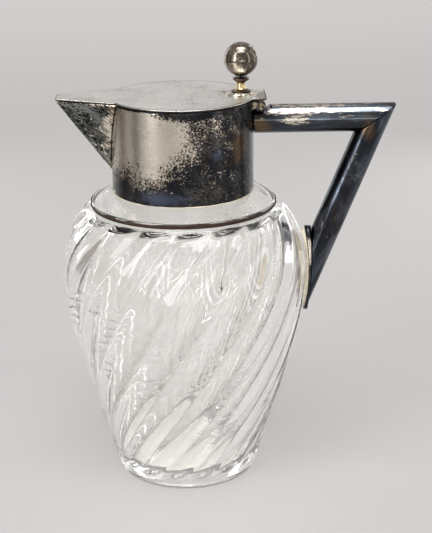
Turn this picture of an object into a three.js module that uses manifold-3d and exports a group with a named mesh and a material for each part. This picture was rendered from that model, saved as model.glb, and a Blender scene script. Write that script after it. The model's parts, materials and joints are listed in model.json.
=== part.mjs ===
// Wine jug: a spiral-fluted glass body with a plated collar, a beak spout, a hinged flat lid
// and an angular tube handle. Millimetres, +Z up. The origin is the centre of the foot's underside.
// The handle points along +X and the spout along -X.
import * as THREE from "three";
import { ConvexGeometry } from "three/addons/geometries/ConvexGeometry.js";
import { mergeVertices } from "three/addons/utils/BufferGeometryUtils.js";
import Module from "manifold-3d";

// Clearances
const SEAT_GAP = 0.3; // between pieces that are soldered, cemented or laid on each other
const PIN_CLEARANCE = 0.1; // radial, between the hinge pin and its bores

// Glass body: its flank leans out from the foot to the belly, and its shoulder turns in to a ledge
const FOOT_RADIUS = 41;
const FOOT_BAND = 8; // plain height below the flutes
const BELLY_RADIUS = 71.4;
const BELLY_HEIGHT = 125;
const LEDGE_RADIUS = 53.8;
const SHOULDER_RISE = 38.3; // from the belly up to the ledge
const FLANK_LEAN = 0.3; // radius gained per height at the foot
const FLANK_PULLS = [0.384, 0.784]; // heights of the flank curve's handles, as shares of the belly's height
const SHOULDER_PULLS = [0.366, 0.849]; // the same for the shoulder, as shares of its rise
const SHOULDER_FULLNESS = 0.58; // radius of the shoulder's upper handle, as a share of the way to the belly
const GLASS_WALL = 4.5;
const GLASS_BASE = 10;
const RING_INSET = 1.65; // from the ledge's edge to the polished ring above it
const RING_STEP = 2.8; // height of the ring's upright face
const RING_SLOPE = 0.388; // height gained per radius lost on the ring's sloping top
const NECK_HEIGHT = 11; // glass neck above the collar's lower edge
const NECK_WALL = 5;

// Flutes
const FLUTES = 18;
const FLUTE_FACETS = 3;
const FLUTE_DEPTH = 1.8;
const FLUTE_RUNOUT = 6; // height over which a flute reaches its depth
const TWIST_AT_BELLY = 0.453; // degrees per mm of outline
const TWIST_NARROWING = 1.69; // power by which the twist quickens where the body is narrower
const FIRST_RIDGE = -24.3; // degrees at the foot, from the front towards the handle
const FLANK_ROWS = 15;
const SHOULDER_ROWS = 7;
const BORE_ROWS = 7;

// Collar and plaster
const COLLAR_RADIUS = 40;
const COLLAR_WALL = 1;
const COLLAR_HEIGHT = 52;
const PLASTER_THICKNESS = 4.4;

// Spout: a folded sheet with two flat cheeks and a narrow keel
const SHEET = 1;
const SPOUT_REACH = 69.5; // tip's distance from the jug's axis
const SPOUT_TIP_HALF_WIDTH = 5;
const SPOUT_SPREAD = 0.412; // half-width gained per length towards the jug
const SPOUT_CLOSING = 0.392; // half-width lost per depth below the rim
const SPOUT_DEPTH = 40.5; // from the rim to the keel's root on the collar

// Lid
const LID_THICKNESS = 1.2;
const LID_OVERHANG = 0.6;
const LID_BEVEL = 0.3;
const TAB_HALF_WIDTH = 12.5;
const TAB_CORNER = 2.5;

// Hinge
const KNUCKLE_RADIUS = 3;
const KNUCKLE_FOOT = [-2, 2.5]; // lowest and highest place of a foot on the collar, from the pin
const TAB_OVER_PIN = 3.6; // from the pin to the end of the lid's tab
const LID_OPENING = THREE.MathUtils.degToRad(95);
const PIN_RADIUS = 1.1;
const PIN_HEAD_RADIUS = 1.9;
const PIN_HEAD_HEIGHT = 0.7;
const HINGE_LENGTH = 24;
const KNUCKLES = 5; // every second one belongs to the lid
const SEAT_THICKNESS = 0.8;
const SEAT_ROOM = 1.2; // between the knuckles and the seat under them

// Handle
const TUBE_RADIUS = 8;
const TUBE_WALL = 1;
const ARM_BELOW_RIM = 4.6; // from the collar's rim down to the arm's top
const HANDLE_OVERHANG = 37.1; // from the belly out to the corner of the handle's axes
const GRIP_FOOT = -0.5; // height over the belly at which the grip's axis meets the plate
const PLATE_HALF_WIDTH = 9.8;
const PLATE_ENDS = [-29, 22.4]; // the plate's lower and upper end, over the belly
const PLATE_THICKNESS = 1.2; // where it is thinnest
const PLATE_INNER_BEND = 113; // radius of the inner face, seen from the side
const PLATE_OUTER_BEND = 300; // the same for the outer face
const PLATE_CREST = 9; // height of the outer face's crest above the plate's middle
const BED_THICKNESS = 0.4; // plaster between the belly and the plate
const BED_INSET = 1.5; // from the plate's edge to the plaster's

// Thumb-piece
const THUMB_INSET = 6.9; // from the collar's outside to the thumb-piece's axis
const THUMB_BASE_RADIUS = 8.5;
const THUMB_STEP_RADIUS = 7.3;
const THUMB_STEP_HEIGHTS = [0.9, 1.5];
const STUD_RADIUS = 1.5;
const STUD_TAIL = 3.2; // below the lid
const FLARE_RADIUS = 6.3;
const THUMB_NECK_RADIUS = 2.4;
const THUMB_NECK_HEIGHT = 5.3; // above the lid
const THUMB_NECK_SWELL = 0.4; // radius gained just under the bead
const BEAD_RADIUS = 4.7;
const BEAD_HEIGHTS = [7.8, 9.6];
const BEAD_ROUNDING = 0.5;
const BALL_RADIUS = 9.5;
const BALL_WALL = 1;
const TANG_DEPTH = 4; // of the stem's end inside the ball
const NUT_RADIUS = 3.4;
const NUT_HEIGHT = 1.8;
const NUT_SIDES = 6;

// Facets of round pieces
const WIDE = 64;
const TUBE = 32;
const SMALL = 24;
const BALL_ROWS = 16;
const HALVINGS = 40; // steps of a search by halves

// Places worked out from the sizes above
const ledgeHeight = BELLY_HEIGHT + SHOULDER_RISE;
const ringRadius = LEDGE_RADIUS - RING_INSET;
const ringTop = ledgeHeight + RING_STEP;
const collarBottom = ringTop + (ringRadius - COLLAR_RADIUS + COLLAR_WALL) * RING_SLOPE + SEAT_GAP;
const collarTop = collarBottom + COLLAR_HEIGHT;
const collarBore = COLLAR_RADIUS - COLLAR_WALL;
const neckRadius = collarBore - PLASTER_THICKNESS - 2 * SEAT_GAP;
const neckTop = collarBottom + NECK_HEIGHT;
const lidBottom = collarTop + SEAT_GAP;
const lidTop = lidBottom + LID_THICKNESS;
const hingeX = COLLAR_RADIUS + SEAT_GAP + KNUCKLE_RADIUS;
const hingeZ = lidBottom - SEAT_GAP - KNUCKLE_RADIUS;
const tabEnd = hingeX + TAB_OVER_PIN;
const lidSweep = Math.hypot(TAB_OVER_PIN, lidTop - hingeZ);
const armZ = collarTop - ARM_BELOW_RIM - TUBE_RADIUS;
const plateBottom = BELLY_HEIGHT + PLATE_ENDS[0];
const plateTop = BELLY_HEIGHT + PLATE_ENDS[1];
const plateMiddle = (plateBottom + plateTop) / 2;
const innerCrest = BELLY_RADIUS + BED_THICKNESS + 2 * SEAT_GAP; // the plate's inner face at its middle
const handleReach = BELLY_RADIUS + HANDLE_OVERHANG;
const gripLean = Math.atan2(handleReach - innerCrest - PLATE_THICKNESS, armZ - BELLY_HEIGHT - GRIP_FOOT);
const thumbX = COLLAR_RADIUS - THUMB_INSET;
const keelRun = (SPOUT_REACH - COLLAR_RADIUS) / SPOUT_DEPTH; // reach lost per depth along the keel

const wasm = await Module();
wasm.setup();

const jug = new THREE.Group();
jug.name = "wine_jug";

// A plain material of one colour
const material = (color, roughness, metalness, more = {}) =>
  new THREE.MeshStandardMaterial({ color, roughness, metalness, ...more });
const glass = material(0xe9ebe7, 0.05, 0, { transparent: true, opacity: 0.4 });
const tarnished = material(0x3c3f44, 0.35, 0.9);
const brushed = material(0xbdb9ae, 0.3, 0.9);
const brass = material(0x9a7b45, 0.35, 0.9);
const steel = material(0x6d6a66, 0.4, 0.9);
const plaster = material(0xd9d0bb, 0.9, 0);

// The closed solid inside a geometry
function solid(geometry) {
  const bare = geometry.clone();
  bare.deleteAttribute("normal");
  bare.deleteAttribute("uv");
  const merged = mergeVertices(bare);
  return new wasm.Manifold(
    new wasm.Mesh({
      numProp: 3,
      vertProperties: merged.attributes.position.array,
      triVerts: new Uint32Array(merged.index.array),
    }),
  );
}

// The geometry of a solid
function surface(body) {
  const { vertProperties, triVerts, numVert, numProp } = body.getMesh();
  const xyz = new Float32Array(numVert * 3);
  for (let v = 0; v < numVert; v++) xyz.set(vertProperties.subarray(v * numProp, v * numProp + 3), v * 3);
  return new THREE.BufferGeometry()
    .setAttribute("position", new THREE.BufferAttribute(xyz, 3))
    .setIndex(new THREE.BufferAttribute(triVerts, 1));
}

// Adds a named piece to the jug, from a geometry or a solid
function piece(name, shape, look) {
  const geometry = shape.isBufferGeometry ? shape : surface(shape);
  if (!geometry.attributes.normal) geometry.computeVertexNormals();
  const mesh = new THREE.Mesh(geometry, look);
  mesh.name = name;
  jug.add(mesh);
  return mesh;
}

// A profile of [radius, height] points turned about the jug's axis, or about an upright line at x
function turned(profile, facets, x = 0) {
  const points = profile.map(([radius, height]) => new THREE.Vector2(radius, height));
  return new THREE.LatheGeometry(points, facets).rotateX(Math.PI / 2).translate(x, 0, 0);
}

// A solid ring with a rectangular section
const ring = (inner, outer, low, high, facets, x = 0) =>
  turned([[inner, low], [outer, low], [outer, high], [inner, high], [inner, low]], facets, x);

// An upright solid cylinder
const post = (radius, low, high, facets, x = 0) =>
  new THREE.CylinderGeometry(radius, radius, high - low, facets)
    .rotateX(Math.PI / 2)
    .translate(x, 0, (low + high) / 2);

// A solid cylinder about the hinge's axis
const barrel = (radius, from, to, facets = SMALL) =>
  new THREE.CylinderGeometry(radius, radius, to - from, facets).translate(hingeX, (from + to) / 2, hingeZ);

// A box between two corners
const block = (low, high) =>
  new THREE.BoxGeometry(high[0] - low[0], high[1] - low[1], high[2] - low[2])
    .translate((low[0] + high[0]) / 2, (low[1] + high[1]) / 2, (low[2] + high[2]) / 2);

// The glass's outline as two curves in (radius, height)
const flank = new THREE.CubicBezierCurve(
  new THREE.Vector2(FOOT_RADIUS, 0),
  new THREE.Vector2(FOOT_RADIUS + FLANK_LEAN * FLANK_PULLS[0] * BELLY_HEIGHT, FLANK_PULLS[0] * BELLY_HEIGHT),
  new THREE.Vector2(BELLY_RADIUS, FLANK_PULLS[1] * BELLY_HEIGHT),
  new THREE.Vector2(BELLY_RADIUS, BELLY_HEIGHT),
);
const shoulder = new THREE.CubicBezierCurve(
  new THREE.Vector2(BELLY_RADIUS, BELLY_HEIGHT),
  new THREE.Vector2(BELLY_RADIUS, BELLY_HEIGHT + SHOULDER_PULLS[0] * SHOULDER_RISE),
  new THREE.Vector2(
    LEDGE_RADIUS + SHOULDER_FULLNESS * (BELLY_RADIUS - LEDGE_RADIUS),
    BELLY_HEIGHT + SHOULDER_PULLS[1] * SHOULDER_RISE,
  ),
  new THREE.Vector2(LEDGE_RADIUS, ledgeHeight),
);

// The glass's radius over its ridges at a height
function glassRadius(height) {
  const curve = height < BELLY_HEIGHT ? flank : shoulder;
  let low = 0;
  let high = 1;
  for (let step = 0; step < HALVINGS; step++) {
    const middle = (low + high) / 2;
    if (curve.getPoint(middle).y < height) low = middle;
    else high = middle;
  }
  return curve.getPoint(low).x;
}

// The glass in one piece: flat foot, plain band, twisted flutes, ledge, polished ring, neck and plain bore
function flutedGlass() {
  const rows = [{ radius: 0, height: 0, depth: 0 }];
  const wall = [...flank.getPoints(FLANK_ROWS), ...shoulder.getPoints(SHOULDER_ROWS).slice(1)];
  wall.push(new THREE.Vector2(glassRadius(FOOT_BAND), FOOT_BAND));
  wall.sort((a, b) => a.y - b.y);
  for (const { x, y } of wall) {
    const grown = Math.min((y - FOOT_BAND) / FLUTE_RUNOUT, (ledgeHeight - y) / FLUTE_RUNOUT, 1);
    rows.push({ radius: x, height: y, depth: (FLUTE_DEPTH * Math.max(grown, 0) * x) / BELLY_RADIUS });
  }
  let turn = THREE.MathUtils.degToRad(FIRST_RIDGE);
  rows.forEach((row, index) => {
    const last = rows[index - 1];
    if (last && last.height >= FOOT_BAND) {
      const narrowing = ((2 * BELLY_RADIUS) / (row.radius + last.radius)) ** TWIST_NARROWING;
      const length = Math.hypot(row.radius - last.radius, row.height - last.height);
      turn += THREE.MathUtils.degToRad(TWIST_AT_BELLY) * narrowing * length;
    }
    row.turn = turn;
  });
  const ringAtNeck = ringTop + (ringRadius - neckRadius) * RING_SLOPE;
  const neckBore = neckRadius - NECK_WALL;
  const plain = [
    [ringRadius, ledgeHeight],
    [ringRadius, ringTop],
    [neckRadius, ringAtNeck],
    [neckRadius, neckTop],
    [neckBore, neckTop],
    [neckBore, ringAtNeck - NECK_WALL],
  ];
  const boreTop = ledgeHeight - GLASS_WALL;
  for (let step = 0; step <= BORE_ROWS; step++) {
    const height = THREE.MathUtils.lerp(boreTop, GLASS_BASE + GLASS_WALL, step / BORE_ROWS);
    plain.push([glassRadius(height) - GLASS_WALL, height]);
  }
  plain.push([glassRadius(GLASS_BASE) - 2 * GLASS_WALL, GLASS_BASE], [0, GLASS_BASE]);
  for (const [radius, height] of plain) rows.push({ radius, height, depth: 0, turn });

  const facets = FLUTES * FLUTE_FACETS;
  const geometry = turned(rows.map(({ radius, height }) => [radius, height]), facets);
  const position = geometry.attributes.position;
  for (let v = 0; v < position.count; v++) {
    const row = rows[v % rows.length];
    const facet = Math.floor(v / rows.length) % facets;
    const across = (facet % FLUTE_FACETS) / FLUTE_FACETS;
    const radius = row.radius - row.depth * (1 - (2 * across - 1) ** 2);
    const angle = (2 * Math.PI * facet) / facets + row.turn;
    position.setXYZ(v, radius * Math.sin(angle), -radius * Math.cos(angle), row.height);
  }
  return geometry;
}

// The plaster between the glass neck and the collar
function plasterRing() {
  const inner = neckRadius + SEAT_GAP;
  const outer = collarBore - SEAT_GAP;
  const above = (radius) => ringTop + (ringRadius - radius) * RING_SLOPE + SEAT_GAP;
  const top = neckTop - SEAT_GAP;
  const start = [inner, above(inner)];
  return turned([start, [outer, above(outer)], [outer, top], [inner, top], start], WIDE);
}

// The wedge inside the spout's cheeks and keel, moved in by an inset and run on well into the collar
function wedge(inset, top) {
  const keelX = (depth) => -SPOUT_REACH + keelRun * depth + inset * Math.hypot(1, keelRun);
  const thinning = inset * Math.hypot(1, SPOUT_SPREAD, SPOUT_CLOSING);
  const halfWidth = (x, depth) =>
    SPOUT_TIP_HALF_WIDTH + SPOUT_SPREAD * (x + SPOUT_REACH) - SPOUT_CLOSING * depth - thinning;
  const root = SPOUT_DEPTH + SHEET - (inset * Math.hypot(1, keelRun)) / keelRun / 2;
  const corners = [];
  for (const depth of [collarTop - top, root]) {
    for (const x of [keelX(depth), -COLLAR_RADIUS / 2]) {
      const y = halfWidth(x, depth);
      corners.push(new THREE.Vector3(x, y, collarTop - depth), new THREE.Vector3(x, -y, collarTop - depth));
    }
  }
  return solid(new ConvexGeometry(corners));
}

const collarCore = solid(post(COLLAR_RADIUS + SEAT_GAP, 0, lidTop, WIDE));
const spoutChannel = wedge(SHEET, lidTop);

// The collar, open behind the spout
const collarTube = ring(collarBore, COLLAR_RADIUS, collarBottom, collarTop, WIDE);
const collarBand = solid(collarTube).subtract(spoutChannel);

// The spout's folded sheet, soldered to the collar's outside
const spout = wedge(0, collarTop).subtract(spoutChannel).subtract(collarCore);

// The lid's flat plate: a disc with a tongue over the spout and a tab over the hinge
function lidPlate() {
  const radius = COLLAR_RADIUS + LID_OVERHANG;
  const tip = SPOUT_REACH + LID_OVERHANG / 2;
  const tongue = (x) => SPOUT_TIP_HALF_WIDTH + LID_OVERHANG / 2 + SPOUT_SPREAD * (SPOUT_REACH + x);
  const spread = Math.atan(SPOUT_SPREAD);
  const edgeFromAxis = tongue(0) * Math.cos(spread);
  const rootAngle = Math.PI / 2 + spread + Math.acos(edgeFromAxis / radius); // where the tongue starts
  const tabAngle = Math.asin(TAB_HALF_WIDTH / radius);
  const outline = new THREE.Shape();
  outline.moveTo(-tip, tongue(-tip));
  outline.lineTo(-tip, -tongue(-tip));
  outline.absarc(0, 0, radius, 2 * Math.PI - rootAngle, 2 * Math.PI - tabAngle, false);
  outline.lineTo(tabEnd - TAB_CORNER, -TAB_HALF_WIDTH);
  outline.absarc(tabEnd - TAB_CORNER, TAB_CORNER - TAB_HALF_WIDTH, TAB_CORNER, -Math.PI / 2, 0, false);
  outline.absarc(tabEnd - TAB_CORNER, TAB_HALF_WIDTH - TAB_CORNER, TAB_CORNER, 0, Math.PI / 2, false);
  outline.absarc(0, 0, radius, tabAngle, rootAngle, false);
  outline.closePath();
  const geometry = new THREE.ExtrudeGeometry(outline, {
    depth: LID_THICKNESS - 2 * LID_BEVEL,
    bevelThickness: LID_BEVEL,
    bevelSize: LID_BEVEL,
    bevelOffset: -LID_BEVEL,
    bevelSegments: 1,
    curveSegments: 20,
  }).translate(0, 0, lidBottom + LID_BEVEL);
  const hole = post(STUD_RADIUS + SEAT_GAP, lidBottom - 1, lidTop + 1, SMALL, thumbX);
  return solid(geometry).subtract(solid(hole));
}

// A hinge knuckle between two places on the pin: the collar's have a foot, and the lid's a flat top
function knuckle(from, to, onLid) {
  const low = onLid ? [hingeX - KNUCKLE_RADIUS, from, hingeZ] : [0, from, hingeZ + KNUCKLE_FOOT[0]];
  const high = onLid
    ? [hingeX + KNUCKLE_RADIUS / 2, to, hingeZ + KNUCKLE_RADIUS]
    : [hingeX, to, hingeZ + KNUCKLE_FOOT[1]];
  const bore = barrel(PIN_RADIUS + PIN_CLEARANCE, from - 1, to + 1);
  return solid(barrel(KNUCKLE_RADIUS, from, to))
    .add(solid(block(low, high)))
    .subtract(collarCore)
    .subtract(solid(bore));
}

// The hinge pin with a flat head riveted over each end
function hingePin() {
  const head = HINGE_LENGTH / 2 + SEAT_GAP;
  const end = head + PIN_HEAD_HEIGHT;
  return solid(barrel(PIN_RADIUS, -end, end))
    .add(solid(barrel(PIN_HEAD_RADIUS, -end, -head)))
    .add(solid(barrel(PIN_HEAD_RADIUS, head, end)));
}

// A cylinder along the handle's arm, from the jug's axis to past the corner
function armRod(radius) {
  const length = handleReach + 3 * TUBE_RADIUS;
  return new THREE.CylinderGeometry(radius, radius, length, TUBE)
    .rotateZ(Math.PI / 2)
    .translate(length / 2, 0, armZ);
}

// A cylinder along the handle's grip, from past the corner down to inside the glass
function gripRod(radius) {
  const above = 3 * TUBE_RADIUS;
  const below = (HANDLE_OVERHANG + 1.4 * TUBE_RADIUS) / Math.sin(gripLean);
  return new THREE.CylinderGeometry(radius, radius, above + below, TUBE)
    .rotateX(Math.PI / 2)
    .translate(0, 0, (above - below) / 2)
    .rotateY(gripLean)
    .translate(handleReach, 0, armZ);
}

// A large block on one side of the handle's mitre, half a gap away from it
function beyondMitre(side) {
  const size = 2 * handleReach;
  return new THREE.BoxGeometry(size, size, size)
    .translate(0, 0, side * (size / 2 - SEAT_GAP / 2))
    .rotateY(-(Math.PI / 2 - gripLean) / 2)
    .translate(handleReach, 0, armZ);
}

// The room that the hinge needs in the arm: round the knuckles, and where the lid's tab swings down
function hingeRoom(margin) {
  const reach = 2 * COLLAR_RADIUS;
  const tabBelow = LID_OPENING - Math.atan2(lidBottom - hingeZ, TAB_OVER_PIN);
  const swung = new THREE.BoxGeometry(reach, reach, reach)
    .translate(0, 0, reach / 2 - SEAT_GAP - margin)
    .rotateY(tabBelow)
    .translate(hingeX, 0, hingeZ);
  const side = HINGE_LENGTH - margin;
  const tabRoom = barrel(lidSweep + SEAT_GAP + margin, -side, side, TUBE);
  const knuckleRoom = barrel(KNUCKLE_RADIUS + SEAT_ROOM + margin, -side, side);
  return solid(tabRoom).intersect(solid(swung)).add(solid(knuckleRoom));
}

// The arm: a tube from the collar to the mitre, notched on top for the hinge
const arm = solid(armRod(TUBE_RADIUS))
  .subtract(solid(armRod(TUBE_RADIUS - TUBE_WALL)))
  .subtract(collarCore)
  .subtract(solid(beyondMitre(-1)))
  .subtract(hingeRoom(SEAT_THICKNESS + SEAT_GAP));

// The bent seat that closes the arm's notch under the hinge
const hingeSeat = hingeRoom(SEAT_THICKNESS)
  .subtract(hingeRoom(0))
  .intersect(solid(armRod(TUBE_RADIUS)))
  .subtract(collarCore);

// The plate's faces as radii from the jug's axis: two arcs, the outer one flatter and with its crest higher
const plateInner = (height) => innerCrest - (height - plateMiddle) ** 2 / (2 * PLATE_INNER_BEND);
const plateOuter = (height) =>
  innerCrest + PLATE_THICKNESS - (height - plateMiddle - PLATE_CREST) ** 2 / (2 * PLATE_OUTER_BEND);

// Everything within the plate's outer face, which trims the grip's lower end
function withinPlate() {
  const low = plateBottom - 2 * TUBE_RADIUS;
  const high = plateTop + TUBE_RADIUS;
  const profile = [];
  for (let height = low; height <= high; height += TUBE_RADIUS / 2) {
    profile.push([plateOuter(height) + SEAT_GAP, height]);
  }
  return solid(turned([[0, low], ...profile, [0, profile[profile.length - 1][1]]], 2 * WIDE));
}

// The grip: a leaning tube from the mitre to the plate
const grip = solid(gripRod(TUBE_RADIUS))
  .subtract(solid(gripRod(TUBE_RADIUS - TUBE_WALL)))
  .subtract(solid(beyondMitre(1)))
  .subtract(withinPlate());

// An oval slab bent round the jug between two faces, given as radii by height
function bentOval(inner, outer, inset) {
  const halfWidth = PLATE_HALF_WIDTH - inset;
  const halfHeight = (plateTop - plateBottom) / 2 - inset;
  const blunt = THREE.MathUtils.degToRad(85); // where the oval's pointed ends are cut
  const geometry = new THREE.BoxGeometry(1, 2, 2, 1, 8, 14).translate(0.5, 0, 0);
  const position = geometry.attributes.position;
  for (let v = 0; v < position.count; v++) {
    const angle = position.getZ(v) * blunt;
    const height = plateMiddle + (halfHeight * Math.sin(angle)) / Math.sin(blunt);
    const radius = THREE.MathUtils.lerp(inner(height), outer(height), position.getX(v));
    const y = position.getY(v) * halfWidth * Math.cos(angle);
    position.setXYZ(v, Math.sqrt(radius ** 2 - y ** 2), y, height);
  }
  return geometry;
}

// The thumb-piece's stepped base
function thumbBase() {
  const hole = STUD_RADIUS + SEAT_GAP;
  const [rim, step] = THUMB_STEP_HEIGHTS.map((height) => lidTop + height);
  return turned(
    [[hole, lidTop], [THUMB_BASE_RADIUS, lidTop], [THUMB_BASE_RADIUS, rim], [THUMB_STEP_RADIUS, rim],
      [THUMB_STEP_RADIUS, step], [hole, step], [hole, lidTop]],
    SMALL,
    thumbX,
  );
}

// The thumb-piece's stem: a stud through the lid, a flare, a slim neck, a bead and a tang in the ball
const ballZ = lidTop + BEAD_HEIGHTS[1] + SEAT_GAP + BALL_RADIUS;
function thumbStem() {
  const foot = lidTop + THUMB_STEP_HEIGHTS[1] + SEAT_GAP;
  const neck = lidTop + THUMB_NECK_HEIGHT;
  const [beadLow, beadHigh] = BEAD_HEIGHTS.map((height) => lidTop + height);
  const flare = [0, 0.25, 0.5, 0.75].map((share) => [
    THREE.MathUtils.lerp(FLARE_RADIUS, THUMB_NECK_RADIUS, Math.sin((share * Math.PI) / 2)),
    THREE.MathUtils.lerp(foot, neck, share ** 1.5),
  ]);
  const tail = lidBottom - STUD_TAIL;
  const tang = ballZ - BALL_RADIUS + TANG_DEPTH;
  return turned(
    [[0, tail], [STUD_RADIUS, tail], [STUD_RADIUS, foot], ...flare, [THUMB_NECK_RADIUS, neck],
      [THUMB_NECK_RADIUS + THUMB_NECK_SWELL, beadLow - BEAD_ROUNDING],
      [BEAD_RADIUS - BEAD_ROUNDING, beadLow], [BEAD_RADIUS, beadLow + BEAD_ROUNDING],
      [BEAD_RADIUS, beadHigh - BEAD_ROUNDING], [BEAD_RADIUS - BEAD_ROUNDING, beadHigh],
      [STUD_RADIUS, beadHigh], [STUD_RADIUS, tang], [0, tang]],
    SMALL,
    thumbX,
  );
}

// The hollow ball, with a hole for the tang
function thumbBall() {
  const shell = (radius) =>
    new THREE.SphereGeometry(radius, SMALL, BALL_ROWS).rotateX(Math.PI / 2).translate(thumbX, 0, ballZ);
  const bottom = ballZ - BALL_RADIUS;
  const hole = post(STUD_RADIUS + SEAT_GAP, bottom - SHEET, bottom + TANG_DEPTH, SMALL, thumbX);
  return solid(shell(BALL_RADIUS)).subtract(solid(shell(BALL_RADIUS - BALL_WALL))).subtract(solid(hole));
}

piece("glass_body", flutedGlass(), glass);
piece("neck_plaster", plasterRing(), plaster);
piece("collar_band", collarBand, tarnished);
piece("spout", spout, tarnished);
piece("handle_arm", arm, tarnished);
piece("handle_grip", grip, tarnished);
piece("handle_plate", bentOval(plateInner, plateOuter, 0), tarnished);
const bedInner = (height) => glassRadius(height) + SEAT_GAP;
const bedOuter = (height) => plateInner(height) - SEAT_GAP;
piece("plate_plaster", bentOval(bedInner, bedOuter, BED_INSET), plaster);
piece("hinge_seat", hingeSeat, tarnished);

const pitch = HINGE_LENGTH / KNUCKLES;
for (let index = 0; index < KNUCKLES; index++) {
  const from = -HINGE_LENGTH / 2 + index * pitch + (index > 0 ? SEAT_GAP / 2 : 0);
  const to = -HINGE_LENGTH / 2 + (index + 1) * pitch - (index < KNUCKLES - 1 ? SEAT_GAP / 2 : 0);
  const onLid = index % 2 === 1;
  const name = (onLid ? "lid_knuckle_" : "collar_knuckle_") + (Math.floor(index / 2) + 1);
  piece(name, knuckle(from, to, onLid), steel);
}
piece("hinge_pin", hingePin(), brass);

piece("lid_plate", lidPlate(), brushed);
piece("thumb_base", thumbBase(), brushed);
piece("thumb_stem", thumbStem(), brass);
piece("thumb_ball", thumbBall(), brushed);
const nutTop = lidBottom - SEAT_GAP;
const nut = ring(STUD_RADIUS + SEAT_GAP, NUT_RADIUS, nutTop - NUT_HEIGHT, nutTop, NUT_SIDES, thumbX);
piece("thumb_nut", nut, steel);

export default jug;
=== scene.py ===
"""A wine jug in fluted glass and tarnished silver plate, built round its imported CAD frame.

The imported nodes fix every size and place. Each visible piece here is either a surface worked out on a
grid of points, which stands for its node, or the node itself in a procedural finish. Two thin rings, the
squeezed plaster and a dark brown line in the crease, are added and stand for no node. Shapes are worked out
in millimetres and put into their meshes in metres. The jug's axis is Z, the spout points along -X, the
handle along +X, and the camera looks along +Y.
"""

import json
import logging
import math
from collections.abc import Callable
from dataclasses import dataclass
from enum import Enum
from functools import cache

import bmesh
import bpy
import numpy as np
from mathutils import Matrix, Vector


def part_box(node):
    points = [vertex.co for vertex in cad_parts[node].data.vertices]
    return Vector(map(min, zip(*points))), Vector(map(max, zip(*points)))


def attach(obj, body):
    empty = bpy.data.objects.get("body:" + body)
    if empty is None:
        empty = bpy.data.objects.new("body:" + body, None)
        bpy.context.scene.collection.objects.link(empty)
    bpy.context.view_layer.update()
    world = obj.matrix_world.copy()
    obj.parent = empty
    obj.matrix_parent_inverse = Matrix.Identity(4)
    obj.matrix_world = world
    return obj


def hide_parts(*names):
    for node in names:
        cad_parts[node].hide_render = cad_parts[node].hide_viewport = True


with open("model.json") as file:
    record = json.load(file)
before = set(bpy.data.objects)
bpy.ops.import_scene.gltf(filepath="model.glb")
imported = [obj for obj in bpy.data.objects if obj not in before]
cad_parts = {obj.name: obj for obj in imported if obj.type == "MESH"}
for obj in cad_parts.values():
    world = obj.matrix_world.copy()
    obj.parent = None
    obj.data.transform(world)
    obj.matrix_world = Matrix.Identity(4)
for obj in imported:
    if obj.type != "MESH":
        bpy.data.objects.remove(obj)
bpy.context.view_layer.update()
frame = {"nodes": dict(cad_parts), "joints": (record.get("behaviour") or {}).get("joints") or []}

LOG = logging.getLogger("wine_jug")
MM = 0.001

Grid = np.ndarray
Piece = bpy.types.Object
Triple = tuple[float, float, float]


class Body(Enum):
    """The frame's moving bodies."""

    JUG = "jug"
    LID = "lid"


class Slot(Enum):
    """The record's material slots."""

    GLASS = "clear_glass"
    TARNISHED = "tarnished_plate"
    WORN = "worn_plate"
    BROWN = "brown_plate"
    BRASS = "bare_brass"
    PLASTER = "plaster"


def node_box(node: str) -> tuple[Grid, Grid]:
    """Lowest and highest corner of a CAD node in millimetres."""
    low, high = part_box(node)
    return np.array(low) / MM, np.array(high) / MM


@dataclass(frozen=True)
class Datum:
    """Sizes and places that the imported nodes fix, in millimetres."""

    collar_radius: float
    collar_low: float
    collar_high: float
    spout_tip: float
    lid_low: float
    lid_high: float
    tab_end: float
    arm_height: float
    tube_radius: float
    corner: float
    plate_middle: float
    plate_half: float
    plate_half_width: float
    hinge: Triple
    ball: Triple
    ball_radius: float

    @classmethod
    def read(cls) -> "Datum":
        """Reads the frame's boxes and its hinge.

        Returns:
            The sizes in millimetres.
        """
        nodes = ("collar_band", "spout", "lid_plate", "handle_arm", "handle_plate", "thumb_ball")
        collar, spout, lid, arm, plate, ball = (node_box(node) for node in nodes)
        return cls(
            collar_radius=collar[1][1],
            collar_low=collar[0][2],
            collar_high=collar[1][2],
            spout_tip=-spout[0][0],
            lid_low=lid[0][2],
            lid_high=lid[1][2],
            tab_end=lid[1][0],
            arm_height=(arm[0][2] + arm[1][2]) / 2,
            tube_radius=(arm[1][2] - arm[0][2]) / 2,
            corner=HandleTubes.corner(HandleTubes.grip_lean()),
            plate_middle=(plate[0][2] + plate[1][2]) / 2,
            plate_half=(plate[1][2] - plate[0][2]) / 2,
            plate_half_width=plate[1][1],
            hinge=tuple(c / MM for c in frame["joints"][0]["pos_m"]),
            ball=tuple((ball[0] + ball[1]) / 2),
            ball_radius=(ball[1][2] - ball[0][2]) / 2,
        )


# Surfaces on grids


def full_turn(count: int) -> Grid:
    """Evenly spaced angles once round."""
    return np.linspace(0, 2 * np.pi, count, endpoint=False)


def point_grid(x: Grid, y: Grid, z: Grid) -> Grid:
    """Coordinates whose shapes broadcast, as one grid of points."""
    return np.stack(np.broadcast_arrays(x, y, z), -1)


def about_axis(radius: Grid, angle: Grid, z: Grid) -> Grid:
    """Points (r sin a, -r cos a, z) about the jug's axis, whose angle 0 faces the camera."""
    return point_grid(radius * np.sin(angle), -radius * np.cos(angle), z)


def smoothstep(x: Grid, low: float, high: float) -> Grid:
    """Zero below low and one above high, with an even curve between them."""
    t = np.clip((x - low) / (high - low), 0, 1)
    return t * t * (3 - 2 * t)


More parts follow.
